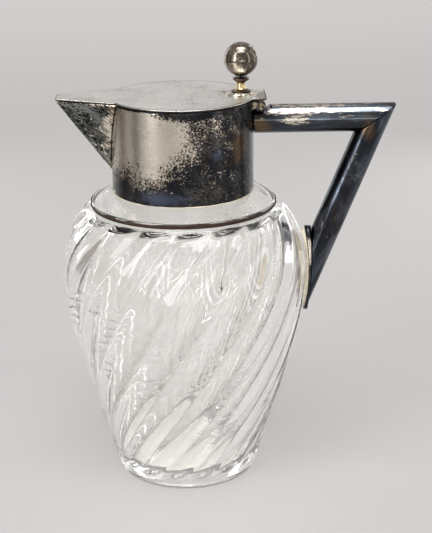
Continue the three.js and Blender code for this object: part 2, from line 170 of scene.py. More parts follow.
def bezier(points: tuple[tuple[float, float], ...], t: Grid) -> Grid:
    """Points of a cubic curve: the given four weighted by (1-t)^3, 3t(1-t)^2, 3t^2(1-t) and t^3."""
    a, b, c, d = (np.array(p, float) for p in points)
    t = t[:, None]
    return a * (1 - t) ** 3 + 3 * b * t * (1 - t) ** 2 + 3 * c * t * t * (1 - t) + d * t**3


def rounded(corners: list[Triple], steps: int = 5) -> Grid:
    """An open outline whose inner corners are turned into arcs.

    Args:
        corners: (radius, height, rounding) of each corner.
        steps: the points on each arc.

    Returns:
        The outline's points. At each corner an arc touches both sides at the rounding's tangent length.
    """
    points = [np.array(corners[0][:2], float)]
    for before, corner, after in zip(corners, corners[1:], corners[2:]):
        p, q, r = (np.array(c[:2], float) for c in (before, corner, after))
        size = corner[2]
        if size <= 0:
            points.append(q)
            continue
        a, b = (p - q) / np.linalg.norm(p - q), (r - q) / np.linalg.norm(r - q)
        half = math.acos(np.clip(a @ b, -1, 1)) / 2
        reach = size / math.tan(half)
        centre = q + (a + b) / np.linalg.norm(a + b) * size / math.sin(half)
        start, end = q + a * reach - centre, q + b * reach - centre
        turn = math.pi - 2 * half
        for t in np.linspace(0, 1, steps):
            swept = start * math.sin((1 - t) * turn) + end * math.sin(t * turn)
            points.append(centre + swept / math.sin(turn))
    points.append(np.array(corners[-1][:2], float))
    return supported(np.array(points))


def supported(outline: Grid, margin: float = 0.12, longest: float = 2.5) -> Grid:
    """Adds points to long stretches, near both ends and evenly between, so that shading stays flat."""
    points = [outline[:1]]
    for start, end in zip(outline, outline[1:]):
        length = float(np.linalg.norm(end - start))
        if length > 4 * margin:
            edge = margin / length
            count = max(2, math.ceil(length / longest) + 1)
            share = np.linspace(edge, 1 - edge, count)[:, None]
            points.append(start + (end - start) * share)
        points.append(end[None])
    return np.concatenate(points)


def skin_faces(rows: int, columns: int, wrap: bool, offset: int = 0, turn_over: bool = False) -> Grid:
    """Quads between the neighbouring points of a grid whose columns may wrap round."""
    last = columns if wrap else columns - 1
    i, j = np.meshgrid(np.arange(rows - 1), np.arange(last), indexing="ij")
    k = (j + 1) % columns
    quads = np.stack([i * columns + j, i * columns + k, (i + 1) * columns + k, (i + 1) * columns + j], -1)
    quads = quads.reshape(-1, 4) + offset
    return quads[:, ::-1] if turn_over else quads


def new_object(name: str, data: bpy.types.ID) -> bpy.types.Object:
    """A new object in the scene."""
    made = bpy.data.objects.new(name, data)
    bpy.context.scene.collection.objects.link(made)
    return made


def new_mesh(name: str, points: Grid, faces: Grid) -> bpy.types.Mesh:
    """A mesh in metres from points in millimetres."""
    mesh = bpy.data.meshes.new(name)
    mesh.from_pydata((points.reshape(-1, 3) * MM).tolist(), [], faces.tolist())
    return mesh


def make_piece(name: str, points: Grid, faces: Grid, sharp: float, unwound: Grid | None = None) -> Piece:
    """Joins a grid's points and quads into a closed piece.

    Args:
        name: the piece's name.
        points: its points in millimetres.
        faces: quads of indices; where two points of a quad meet, it becomes a triangle.
        sharp: the angle in degrees from which an edge stays sharp.
        unwound: a second place for each point, kept as the attribute "unwound" for patterns.

    Returns:
        The object, at the origin.
    """
    mesh = new_mesh(name, points, faces)
    if unwound is not None:
        layer = mesh.attributes.new("unwound", "FLOAT_VECTOR", "POINT")
        layer.data.foreach_set("vector", (unwound.reshape(-1, 3) * MM).ravel())
    joined = bmesh.new()
    joined.from_mesh(mesh)
    bmesh.ops.remove_doubles(joined, verts=joined.verts, dist=2e-6)
    bmesh.ops.recalc_face_normals(joined, faces=joined.faces)
    if joined.calc_volume(signed=True) < 0:
        bmesh.ops.reverse_faces(joined, faces=joined.faces)
    joined.to_mesh(mesh)
    joined.free()
    mesh.shade_smooth()
    mesh.set_sharp_from_angle(angle=math.radians(sharp))
    return new_object(name, mesh)


def turned_piece(name: str, points: Grid, sharp: float = 35.0, unwound: Grid | None = None) -> Piece:
    """A closed piece from a grid whose columns wrap, and whose end rows lie on its axis or on each other."""
    return make_piece(name, points, skin_faces(*points.shape[:2], wrap=True), sharp, unwound)


def round_border(front: Grid, back: Grid, steps: int = 3) -> tuple[Grid, Grid]:
    """Rounds a sheet's last row over: the two faces draw in along a half circle until they meet.

    Args:
        front: the sheet's front face.
        back: its back face, point for point behind the front.
        steps: the rows on the quarter circle.

    Returns:
        Both faces with rows added. The border stays as far out as it was.
    """
    middle, half = (front + back) / 2, (front - back) / 2
    size = np.linalg.norm(half[-1], axis=-1, keepdims=True)
    out = middle[-1] - middle[-2]
    out = out / np.maximum(np.linalg.norm(out, axis=-1, keepdims=True), 1e-9)
    turn = np.linspace(0, np.pi / 2, steps + 1)[:, None, None]
    rim = middle[-1] + out * size * (np.sin(turn) - 1)
    thin = half[-1] * np.cos(turn)
    return np.concatenate([front[:-1], rim + thin]), np.concatenate([back[:-1], rim - thin])


def sheet_piece(
    name: str, front: Grid, back: Grid, wrap: bool = False, from_centre: bool = False, sharp: float = 35.0
) -> Piece:
    """A closed sheet between two faces, with its borders rounded over.

    Args:
        name: the piece's name.
        front: the front face's grid.
        back: the back face's grid, point for point.
        wrap: whether the columns wrap round, as on a tube.
        from_centre: whether the first row is one point, the middle of a disc.
        sharp: the angle in degrees from which an edge stays sharp.

    Returns:
        The piece.
    """
    front, back = round_border(front, back)
    if not from_centre:
        front, back = round_border(front[::-1], back[::-1])
    if not wrap:
        front, back = round_border(front.swapaxes(0, 1), back.swapaxes(0, 1))
        front, back = round_border(front[::-1], back[::-1])
    rows, columns = front.shape[:2]
    points = np.concatenate([front.reshape(-1, 3), back.reshape(-1, 3)])
    behind = skin_faces(rows, columns, wrap, offset=rows * columns, turn_over=True)
    return make_piece(name, points, np.concatenate([skin_faces(rows, columns, wrap), behind]), sharp)


def seat(piece: Piece, body: Body, slot: Slot, material: bpy.types.Material, *nodes: str) -> None:
    """Dresses a new piece, rides it on its body and lets it stand for CAD nodes."""
    piece.data.materials.append(material)
    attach(piece, body.value)
    if nodes:
        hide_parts(*nodes)
    triangles = sum(len(p.vertices) - 2 for p in piece.data.polygons)
    LOG.info("%s: %d triangles, rides on %s, stands for %s", piece.name, triangles, body.value,
             ", ".join(nodes) or "no node")


def dress(node: str, material: bpy.types.Material) -> None:
    """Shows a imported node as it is, in a finish."""
    piece = frame["nodes"][node]
    piece.data.materials.clear()
    piece.data.materials.append(material)
    LOG.info("%s: shown as packed, in %s", node, material.name)


# Shader nodes


class Value:
    """A node's output that can be calculated with: each sign adds a Math node to its graph."""

    def __init__(self, graph: "Graph", socket: bpy.types.NodeSocket) -> None:
        """Keeps the graph and the socket."""
        self.graph = graph
        self.socket = socket

    def __add__(self, other: "Value | float") -> "Value":
        """This plus the other."""
        return self.graph.math("ADD", self, other)

    def __sub__(self, other: "Value | float") -> "Value":
        """This less the other."""
        return self.graph.math("SUBTRACT", self, other)

    def __rsub__(self, other: float) -> "Value":
        """A number less this."""
        return self.graph.math("SUBTRACT", other, self)

    def __mul__(self, other: "Value | float") -> "Value":
        """This times the other."""
        return self.graph.math("MULTIPLY", self, other)

    def __abs__(self) -> "Value":
        """This without its sign."""
        return self.graph.math("ABSOLUTE", self)


Amount = Value | float
Colour = Value | Triple


class Graph:
    """Adds shader nodes to a tree and wires each input from a number or from another node."""

    def __init__(self, tree: bpy.types.NodeTree) -> None:
        """Keeps the tree and empties it."""
        self.tree = tree
        tree.nodes.clear()

    def add(self, kind: str, inputs: dict | None = None, **settings: object) -> bpy.types.Node:
        """Adds one node.

        Args:
            kind: the node's type name.
            inputs: a number, a tuple or a Value for each input, by name or number.
            settings: the node's own properties.

        Returns:
            The node. A colour that is given without its alpha gets 1.
        """
        node = self.tree.nodes.new(kind)
        for key, value in settings.items():
            setattr(node, key, value)
        for key, value in (inputs or {}).items():
            socket = node.inputs[key]
            if isinstance(value, Value):
                self.tree.links.new(value.socket, socket)
            else:
                socket.default_value = (*value, 1) if socket.type == "RGBA" else value
        return node

    def get(self, kind: str, inputs: dict | None = None, output: str | int = 0, **settings: object) -> Value:
        """Adds one node and gives one of its outputs."""
        return Value(self, self.add(kind, inputs, **settings).outputs[output])

    def group(self, maker: Callable[[], bpy.types.NodeTree], inputs: dict) -> list[Value]:
        """Places a shared node group and gives its outputs."""
        node = self.add("ShaderNodeGroup", inputs, node_tree=maker())
        return [Value(self, socket) for socket in node.outputs]

    def rays(self, *names: str) -> list[Value]:
        """The light path's outputs of these names."""
        outputs = self.add("ShaderNodeLightPath").outputs
        return [Value(self, outputs[name]) for name in names]

    def math(self, operation: str, a: Amount, b: Amount = 0.0, clamp: bool = False) -> Value:
        """The result of a Math node."""
        return self.get("ShaderNodeMath", {0: a, 1: b}, operation=operation, use_clamp=clamp)

    def vector(self, operation: str, a: Colour, b: Colour, output: str = "Vector") -> Value:
        """The result of a Vector Math node."""
        return self.get("ShaderNodeVectorMath", {0: a, 1: b}, output, operation=operation)

    def colour(self, factor: Amount, a: Colour, b: Colour) -> Value:
        """Two colours mixed by a factor."""
        return self.get("ShaderNodeMix", {0: factor, 6: a, 7: b}, 2, data_type="RGBA")

    def between(self, factor: Amount, a: float, b: float) -> Value:
        """A number between a and b by a factor."""
        return self.get("ShaderNodeMix", {0: factor, 2: a, 3: b}, data_type="FLOAT")

    def step(self, value: Amount, low: Amount, high: Amount) -> Value:
        """A smooth step from 0 at low to 1 at high."""
        inputs = {"Value": value, "From Min": low, "From Max": high}
        return self.get("ShaderNodeMapRange", inputs, interpolation_type="SMOOTHSTEP")

    def noise(
        self, vector: Value, scale: Amount, detail: float = 4.0, rough: float = 0.55, warp: float = 0.0
    ) -> Value:
        """Noise from 0 to 1 around a half."""
        inputs = {"Vector": vector, "Scale": scale, "Detail": detail, "Roughness": rough, "Distortion": warp}
        return self.get("ShaderNodeTexNoise", inputs, "Fac")

    def stretched(self, vector: Value, scale: Triple, turn: Triple = (0.0, 0.0, 0.0)) -> Value:
        """Coordinates turned by degrees and then scaled unevenly, which draws a pattern out along a slant."""
        if any(turn):
            inputs = {"Vector": vector, "Rotation": tuple(math.radians(a) for a in turn)}
            vector = self.get("ShaderNodeVectorRotate", inputs, "Vector", rotation_type="EULER_XYZ")
        return self.vector("MULTIPLY", vector, scale)

    def place(self) -> Value:
        """The piece's own coordinates in metres."""
        return self.get("ShaderNodeTexCoord", output="Object")

    def part(self, vector: Value, axis: str) -> Value:
        """One coordinate of a vector."""
        return self.get("ShaderNodeSeparateXYZ", {0: vector}, axis)

    def bump(self, height: Value, distance: float = MM) -> Value:
        """The normal of a surface that is raised by a height, in steps of a distance."""
        return self.get("ShaderNodeBump", {"Height": height, "Distance": distance, "Strength": 1.0})

    def cover(self, inputs: dict) -> None:
        """Makes a Principled shader the material's surface."""
        self.add("ShaderNodeOutputMaterial", {0: self.get("ShaderNodeBsdfPrincipled", inputs)})


def new_group(name: str, inputs: dict, outputs: tuple[str, ...]) -> tuple[Graph, list[Value]]:
    """An empty node group with named sockets.

    Args:
        name: the group's name.
        inputs: each input's default, a number or a vector.
        outputs: the names of its number outputs.

    Returns:
        Its graph and its inputs in their order.
    """
    graph = Graph(bpy.data.node_groups.new(name, "ShaderNodeTree"))
    sockets = graph.tree.interface
    for key, value in inputs.items():
        if isinstance(value, tuple):
            sockets.new_socket(key, in_out="INPUT", socket_type="NodeSocketVector")
        else:
            sockets.new_socket(key, in_out="INPUT", socket_type="NodeSocketFloat").default_value = value
    for key in outputs:
        sockets.new_socket(key, in_out="OUTPUT", socket_type="NodeSocketFloat")
    entry = graph.add("NodeGroupInput")
    return graph, [Value(graph, entry.outputs[key]) for key in inputs]


@cache
def film_group() -> bpy.types.NodeTree:
    """Where plate is bare: a field of worn places, broken up by noise and curls and cut at zero.

    Returns:
        A group, built once, that gives Bare, 1 on bare silver, and Edge, 1 where the film thins out.
    """
    defaults = {"Vector": (0, 0, 0), "Field": 0.0, "Coarse": 0.5, "Speckle": 0.4, "Curl": 0.3,
                "Curl Scale": 300.0, "Softness": 0.05}
    g, (place, field, coarse, speckle, curl, curl_scale, softness) = new_group(
        "worn_film", defaults, ("Bare", "Edge"))
    blot_scale, grain_scale, patch_scale, thread_width = 70.0, 900.0, 130.0, 0.045
    blots = g.noise(place, blot_scale, 5.0, 0.6) - 0.5
    grains = g.noise(place, grain_scale, 3.0, 0.6, 0.8) - 0.5
    threads = 1.0 - g.step(abs(g.noise(place, curl_scale, 1.5, 0.5, 2.2) - 0.5), 0.0, thread_width)
    patch = g.step(g.noise(place, patch_scale, 2.0), 0.42, 0.6)
    total = field + blots * coarse + grains * speckle + threads * patch * curl
    bare = g.step(total, softness * -1.0, softness)
    near = g.math("SUBTRACT", 1.0, abs(total) * 5.0, clamp=True)
    g.add("NodeGroupOutput", {"Bare": bare, "Edge": near})
    return g.tree


@cache
def scratch_group() -> bpy.types.NodeTree:
    """Fine scratches in three directions: thin lines where a drawn-out noise crosses its middle.

    Returns:
        A group, built once, that gives Line, 1 on a scratch.
    """
    defaults = {"Vector": (0, 0, 0), "Width": 0.02, "Amount": 0.5}
    g, (place, width, amount) = new_group("fine_scratches", defaults, ("Line",))
    line: Amount = 0.0
    drawn_out, patch_scale = (70.0, 420.0, 420.0), 55.0
    for turn in ((0.0, -14.0, 17.0), (0.0, -38.0, -21.0), (0.0, -63.0, -48.0)):
        off = abs(g.noise(g.stretched(place, drawn_out, turn), 1.0, 2.0, 0.5) - 0.5)
        line = g.math("MAXIMUM", line, 1.0 - g.step(off, 0.0, width))
    patchy = g.step(g.noise(place, patch_scale, 3.0), 0.75 - amount * 0.5, 0.8)
    g.add("NodeGroupOutput", {"Line": line * patchy})
    return g.tree


@cache
def dent_group() -> bpy.types.NodeTree:
    """The slow unevenness of hand-worked sheet.

    Returns:
        A group, built once, that gives Height in millimetres.
    """
    g, (place, depth) = new_group("hand_work", {"Vector": (0, 0, 0), "Depth": 0.05}, ("Height",))
    slow_scale, quick_scale, quick_share = 38.0, 240.0, 0.12
    slow = g.noise(place, slow_scale, 2.0, 0.4)
    quick = g.noise(place, quick_scale, 2.0, 0.5)
    g.add("NodeGroupOutput", {"Height": (slow + quick * quick_share) * depth})
    return g.tree


def new_material(name: str) -> tuple[bpy.types.Material, Graph]:
    """An empty material and its graph."""
    material = bpy.data.materials.new(name)
    material.use_nodes = True
    return material, Graph(material.node_tree)


# Finishes


@dataclass(frozen=True)
class Spot:
    """A worn or stained place, or a place of painted highlight, sheen or shade: an ellipsoid in millimetres,
    full in its middle and gone at its border.
    """

    centre: Triple
    size: Triple
    amount: float = 1.0


def spot_rows(*rows: tuple[float, ...]) -> tuple[Spot, ...]:
    """Spots from rows of the middle's x, y and z, the three sizes and the amount."""
    return tuple(Spot(row[:3], row[3:6], row[6]) for row in rows)


def spot_field(g: Graph, place: Value, spots: tuple[Spot, ...], base: float = 0.0) -> Amount:
    """A base plus the strongest of several spots, each amount times one less its distance in its own sizes.

    Args:
        g: the material's graph.
        place: the piece's coordinates in metres.
        spots: the spots.
        base: the field away from every spot.

    Returns:
        The field.
    """
    total: Amount = 0.0
    for spot in spots:
        offset = g.vector("SUBTRACT", place, tuple(c * MM for c in spot.centre))
        scaled = g.vector("DIVIDE", offset, tuple(s * MM for s in spot.size))
        inside = 1.0 - g.vector("LENGTH", scaled, (0, 0, 0), "Value")
        total = g.math("MAXIMUM", total, inside * spot.amount)
    return total + base


@dataclass(frozen=True)
class EdgeWear:
    """Wear along a straight edge: full on a plane and gone at its reach, all in millimetres."""

    direction: Triple
    level: float
    reach: float
    amount: float


@dataclass(frozen=True)
class PlateFinish:
    """Silver plate under a tarnish film that is worn through in places."""

    name: str
    silver: Triple = (0.66, 0.60, 0.52)
    film: Triple = (0.034, 0.036, 0.042)
    haze: Triple = (0.10, 0.11, 0.13)
    brown: Triple = (0.13, 0.085, 0.05)
    thin_film: Triple = (0.42, 0.33, 0.24)
    silver_rough: float = 0.26
    film_rough: float = 0.24
    # Bare silver spots: wear, and on the arm and the handle's plate painted highlights too.
    worn_and_highlight: tuple[Spot, ...] = ()
    kept: tuple[Spot, ...] = ()
    # Spots where the film turns to its haze colour: haze, and on the collar and the arm a painted sheen.
    haze_and_sheen: tuple[Spot, ...] = ()
    # Brown spots: stains, and on the lid's rim a painted shadow.
    stains_and_shade: tuple[Spot, ...] = ()
    edges: tuple[EdgeWear, ...] = ()
    warmth: float = 0.35
    cloud: tuple[float, float] = (0.48, 0.8)
    wear: float = -0.6
    coarse: float = 1.1
    speckle: float = 1.6
    curl: float = 0.3
    curl_scale: float = 300.0
    softness: float = 0.05
    drawn: Triple = (1.0, 1.0, 1.0)
    lean: float = 0.0
    cloud_grain: float = 75.0
    brown_grain: float = 95.0
    haze_grain: float = 220.0
    stain_grain: float = 260.0
    raggedness: float = 1.2
    dent_depth: float = 0.05
    film_step: float = 0.006
    scratch: float = 0.5
    scratch_depth: float = 0.004
    scratch_width: float = 0.03
    scratch_tone: float = 0.35
    scratch_colour: Triple = (0.62, 0.60, 0.56)

    def worn_field(self, g: Graph, place: Value) -> Amount:
        """The wear and the painted highlights before noise: base, spots and edges, less the places that keep
        their film.

        Args:
            g: the material's graph.
            place: the piece's coordinates in metres.

        Returns:
            The field, above zero where the plate is bare.
        """
        total = spot_field(g, place, self.worn_and_highlight, self.wear)
        for edge in self.edges:
            off = g.vector("DOT_PRODUCT", place, edge.direction, "Value") - edge.level * MM
            near = g.math("SUBTRACT", 1.0, g.math("DIVIDE", abs(off), edge.reach * MM), clamp=True)
            total = near * edge.amount + total
        return total - spot_field(g, place, self.kept) if self.kept else total

    def film_colour(self, g: Graph, place: Value, pattern: Value) -> Value:
        """The film's colour: dark, clouded by haze, lightened in spots of haze and of painted sheen, and
        turned brown by stains and, on the lid's rim, by painted shade.

        Args:
            g: the material's graph.
            place: the piece's coordinates in metres.
            pattern: the same, drawn out along the piece.

        Returns:
            The colour.
        """

        def with_spots(mask: Value, spots: tuple[Spot, ...], grain: float, low: float, high: float) -> Value:
            """The mask with ragged spots added."""
            if not spots:
                return mask
            ragged = (g.noise(pattern, grain, 4.0, 0.65) - 0.5) * self.raggedness
            return g.math("MAXIMUM", mask, g.step(ragged + spot_field(g, place, spots), low, high))

        cloud = g.step(g.noise(pattern, self.cloud_grain, 5.0, 0.62, 0.5), *self.cloud)
        dark = g.colour(with_spots(cloud, self.haze_and_sheen, self.haze_grain, 0.1, 0.8), self.film, self.haze)
        warm = g.step(g.noise(pattern, self.brown_grain, 5.0, 0.65), 0.5, 0.75) * self.warmth
        return g.colour(with_spots(warm, self.stains_and_shade, self.stain_grain, 0.15, 0.75), dark, self.brown)

    def silver_colour(self, g: Graph, place: Value, edge: Value) -> Value:
        """The bare silver's colour, warmer where the film thins out and finely brushed.

        Args:
            g: the material's graph.
            place: the piece's coordinates in metres.
            edge: 1 where the film thins out.

        Returns:
            The colour.
        """
        brushed = g.noise(g.stretched(place, (0.05, 0.05, 1.0)), 1500.0, 3.0, 0.6)
        cloudy = g.noise(place, 85.0, 4.0, 0.6)
        tone = g.between(brushed * 0.5 + cloudy * 0.5, 0.78, 1.2)
        silver = g.get("ShaderNodeVectorMath", {0: self.silver, "Scale": tone}, operation="SCALE")
        return g.colour(edge, silver, self.thin_film)

    def build(self) -> bpy.types.Material:
        """Makes the material.

        Returns:
            Silver and film mixed by the worn film's mask, with scratches and the sheet's unevenness as bump.
        """
        material, g = new_material(self.name)
        place = g.place()
        pattern = g.stretched(place, self.drawn, (0.0, self.lean, 0.0))
        bare, edge = g.group(film_group, {
            "Vector": pattern, "Field": self.worn_field(g, place), "Coarse": self.coarse, "Curl": self.curl,
            "Speckle": self.speckle, "Curl Scale": self.curl_scale, "Softness": self.softness,
        })
        (scratch,) = g.group(
            scratch_group, {"Vector": place, "Width": self.scratch_width, "Amount": self.scratch})
        (dents,) = g.group(dent_group, {"Vector": place, "Depth": self.dent_depth})
        colour = g.colour(bare, self.film_colour(g, place, pattern), self.silver_colour(g, place, edge))
        rough = g.between(bare, self.film_rough, self.silver_rough) + (g.noise(place, 180.0) - 0.5) * 0.14
        height = dents + bare * -self.film_step + scratch * -self.scratch_depth
        g.cover({
            "Base Color": g.colour(scratch * self.scratch_tone, colour, self.scratch_colour),
            "Roughness": rough, "Normal": g.bump(height), "Metallic": 1.0,
        })
        return material


@dataclass(frozen=True)
class GlassFinish:
    """Clear pressed glass. Lamps reach through it, so that it throws a light shadow, and light that is
    mirrored to and fro in its wall leaves it straight, past the deepest bounce that is followed."""

    name: str = "clear_fluted_glass"
    tint: Triple = (0.965, 0.96, 0.94)
    foot_tint: Triple = (0.95, 0.945, 0.918)
    foot_zone: tuple[float, float] = (0.012, 0.004)
    index: float = 1.5
    shade: float = 0.86
    leaving: Triple = (0.98, 0.98, 0.97)
    deepest: float = 5.5
    streak: float = 0.09
    swell: float = 0.07
    painted_strand_highlight: float = 0.8
    mark_spacing: float = 0.0062
    mark_height: float = 0.09
    mark_bend: float = 16.0

    def chill_marks(self, g: Graph, along: Value) -> Value:
        """Fine wavy ridges across the flutes where the glass met a cold mould.

        Args:
            g: the material's graph.
            along: coordinates in which the flutes run straight up.

        Returns:
            From 0 to 1, the crests of a sine of the height, bent by noise and kept to patches in the flank.
        """
        height = g.part(along, "Z")
        bend = (g.noise(along, 55.0, 2.0, 0.5) - 0.5) * self.mark_bend
        wave = g.math("SINE", height * (2 * math.pi / self.mark_spacing) + bend)
        patch = g.step(g.noise(g.stretched(along, (1.0, 1.0, 0.35)), 60.0, 1.0), 0.48, 0.6)
        flank = g.step(height, 0.025, 0.04) * g.step(height, 0.13, 0.11)
        return g.step(wave, 0.5, 1.0) * (patch * flank)

    def build(self) -> bpy.types.Material:
        """Makes the material.

        Returns:
            A transmitting Principled shader, with a Transparent one for the lamps' rays and for light that
            is caught in the wall.
        """
        material, g = new_material(self.name)
        place = g.place()
        along = g.get("ShaderNodeAttribute", output="Vector", attribute_name="unwound")
        drawn = g.noise(g.stretched(along, (1.0, 1.0, 0.025)), 520.0, 2.0, 0.45)
        patch = g.step(g.noise(along, 34.0, 2.0), 0.38, 0.62)
        marks = self.chill_marks(g, along)
        height = drawn * patch * self.streak + g.noise(place, 55.0, 2.0, 0.4) * self.swell
        height = height + marks * self.mark_height
        # Painted highlight: the chill marks and the strands along the flutes turn the Base Color white,
        # lighter than the tinted glass, standing in for fine white lines of light in the ripples.
        clear = g.math("MAXIMUM", marks, g.step(drawn, 0.55, 0.66) * patch * self.painted_strand_highlight)
        low = g.step(g.part(place, "Z"), *self.foot_zone)
        shader = g.get("ShaderNodeBsdfPrincipled", {
            "Base Color": g.colour(clear, g.colour(low, self.tint, self.foot_tint), (1, 1, 1)),
            "Roughness": 0.0, "IOR": self.index, "Metallic": 0.0, "Transmission Weight": 1.0,
            "Normal": g.bump(height),
        })
        shadow, depth = g.rays("Is Shadow Ray", "Ray Depth")
        straight = g.math("MAXIMUM", shadow, g.math("GREATER_THAN", depth, self.deepest))
        pane = g.get(
            "ShaderNodeBsdfTransparent", {"Color": g.colour(shadow, self.leaving, (self.shade,) * 3)})
        mixed = g.get("ShaderNodeMixShader", {0: straight, 1: shader, 2: pane})
        g.add("ShaderNodeOutputMaterial", {0: mixed})
        return material


@dataclass(frozen=True)
class PlasterFinish:
    """Old plaster cement, cream with darker grains."""

    name: str = "old_plaster"
    pale: Triple = (0.74, 0.67, 0.52)
    dark: Triple = (0.40, 0.32, 0.20)

    def build(self) -> bpy.types.Material:
        """Makes the material."""
        material, g = new_material(self.name)
        place = g.place()
        grain = g.step(g.noise(place, 260.0, 5.0, 0.7), 0.48, 0.72)
        g.cover({
            "Base Color": g.colour(grain, self.pale, self.dark), "Roughness": 0.85,
            "Normal": g.bump(g.noise(place, 900.0, 4.0), 0.1 * MM),
        })
        return material


# The jug's sub-assemblies


@dataclass
class GlassBody:
    """The blown glass: foot, twisted flutes, ledge, polished ring, neck and a slightly rippled bore."""

    foot_radius: float = 41.0
    foot_band: float = 8.0
    foot_hollow: float = 1.2
    foot_rest: float = 9.0
    flank: tuple = ((41.0, 0.0), (55.4, 48.0), (71.1, 98.0), (71.1, 125.0))
    shoulder: tuple = ((71.1, 125.0), (71.1, 139.0), (64.0, 157.5), (53.8, 163.3))
    ring_radius: float = 52.15
    ring_step: float = 2.8
    ring_slope: float = 0.388
    neck_radius: float = 34.0
    neck_top: float = 182.5
    neck_wall: float = 5.0
    wall: float = 4.5
    base: float = 10.0
    flutes: int = 18
    flute_depth: float = 2.9
    flute_runout: float = 5.0
    scallop: float = 3.0
    ridge_round: float = 0.12
    echo: float = 0.3
    twist_at_belly: float = 0.453
    twist_narrowing: float = 1.69
    first_ridge: float = -24.3
    ripple: float = 0.08
    columns: int = 324
    flank_rows: int = 84
    shoulder_rows: int = 36

    def outline(self) -> Grid:
        """(radius, height) up the outside over the ridges, from the foot to the ledge."""
        flank = bezier(self.flank, np.linspace(0, 1, self.flank_rows))
        shoulder = bezier(self.shoulder, np.linspace(0, 1, self.shoulder_rows))
        return np.concatenate([flank, shoulder[1:]])

    def twist(self, outline: Grid) -> Grid:
        """The flutes' turn in radians at each row.

        Args:
            outline: (radius, height) of each row.

        Returns:
            The sum up the outline of the twist per length, which grows as (belly / radius) ^ narrowing.
        """
        step = np.diff(outline, axis=0)
        length = np.hypot(step[:, 0], step[:, 1])
        radius = (outline[1:, 0] + outline[:-1, 0]) / 2
        belly = outline[:, 0].max()
        rate = math.radians(self.twist_at_belly) * (belly / radius) ** self.twist_narrowing
        rate = rate * (outline[1:, 1] > self.foot_band)
        return math.radians(self.first_ridge) + np.concatenate([[0.0], np.cumsum(rate * length)])

    def section(self, share: Grid) -> Grid:
        """A flute's depth across it, from 0 on the ridges to 1 in its middle.

        Args:
            share: the place across the flutes, in whole flutes from the first ridge.

        Returns:
            One less the square of the place from the middle, which is near a circle's arc, with the ridge
            rounded by adding a small square under a root.
        """
        off = np.abs(share - np.round(share)) * 2
        small = self.ridge_round
        reach = np.sqrt(off**2 + small**2) - small
        reach = reach / (math.sqrt(1 + small**2) - small)
        return 1 - (1 - reach) ** 2

    def fluted(self, outline: Grid) -> Grid:
        """The fluted outside: the outline's radius less the flutes' depth times their section.

        Args:
            outline: (radius, height) of each row.

        Returns:
            The grid. A flute starts later in its middle than at its ridges, which scallops its end.
        """
        radius, height = outline[:, :1], outline[:, 1:]
        across = full_turn(self.columns)[None, :]
        section = self.section(across * self.flutes / (2 * np.pi))
        start = self.foot_band - 0.5 + self.scallop * (1 - section)
        ends = (height - start, self.shoulder[-1][1] - height)
        low, high = (smoothstep(way, 0.0, self.flute_runout) for way in ends)
        depth = self.flute_depth * (low * high) * radius / self.flank[-1][0]
        return about_axis(radius - depth * section, across + self.twist(outline)[:, None], height)

    def bore(self, outline: Grid, offset: float) -> Grid:
        """The inside from the neck down: the outline moved in by the wall, with slow ripples.

        Args:
            outline: (radius, height) up the outside.
            offset: the first column's angle, the same as the neck's.

        Returns:
            The grid, top to bottom. The ripples are three sines of the height that drift round the jug,
            with given rates, and the flutes show through them as an echo.
        """
        keep = (outline[:, 1] > self.base + self.wall) & (outline[:, 1] < self.shoulder[-1][1] - self.wall)
        rows = outline[keep][::-2]
        turns = self.twist(outline)[keep][::-2, None]
        radius, height = rows[:, :1] - self.wall, rows[:, 1:]
        angle = offset + full_turn(self.columns)[None, :]
        drift = 1.9 * np.sin(2 * angle + 0.6) + 0.9 * np.sin(5 * angle + 0.02 * height)
        drift = drift + 0.35 * np.sin(17 * angle)
        waves = (
            np.sin(height * 0.74 + drift)
            + 0.6 * np.sin(height * 0.43 - 1.6 * np.sin(3 * angle + 2.1) + 0.3 * np.sin(13 * angle))
            + 0.35 * np.sin(height * 1.15 + 2.2 * np.sin(4 * angle + 1.0))
        )
        waves = waves * (0.2 + 0.8 * np.cos(angle) ** 2)
        fade = smoothstep(height, self.base + self.wall, self.base + 4 * self.wall)
        echo = self.section((angle - turns) * self.flutes / (2 * np.pi)) * fade
        return about_axis(radius + self.ripple * waves + self.echo * (echo - 0.6), angle, height)

    def plain(self, corners: list[Triple], offset: float) -> Grid:
        """A plain turned stretch whose columns start at the angle of the flutes beside it."""
        profile = rounded(corners)
        return about_axis(profile[:, :1], offset + full_turn(self.columns)[None, :], profile[:, 1:])

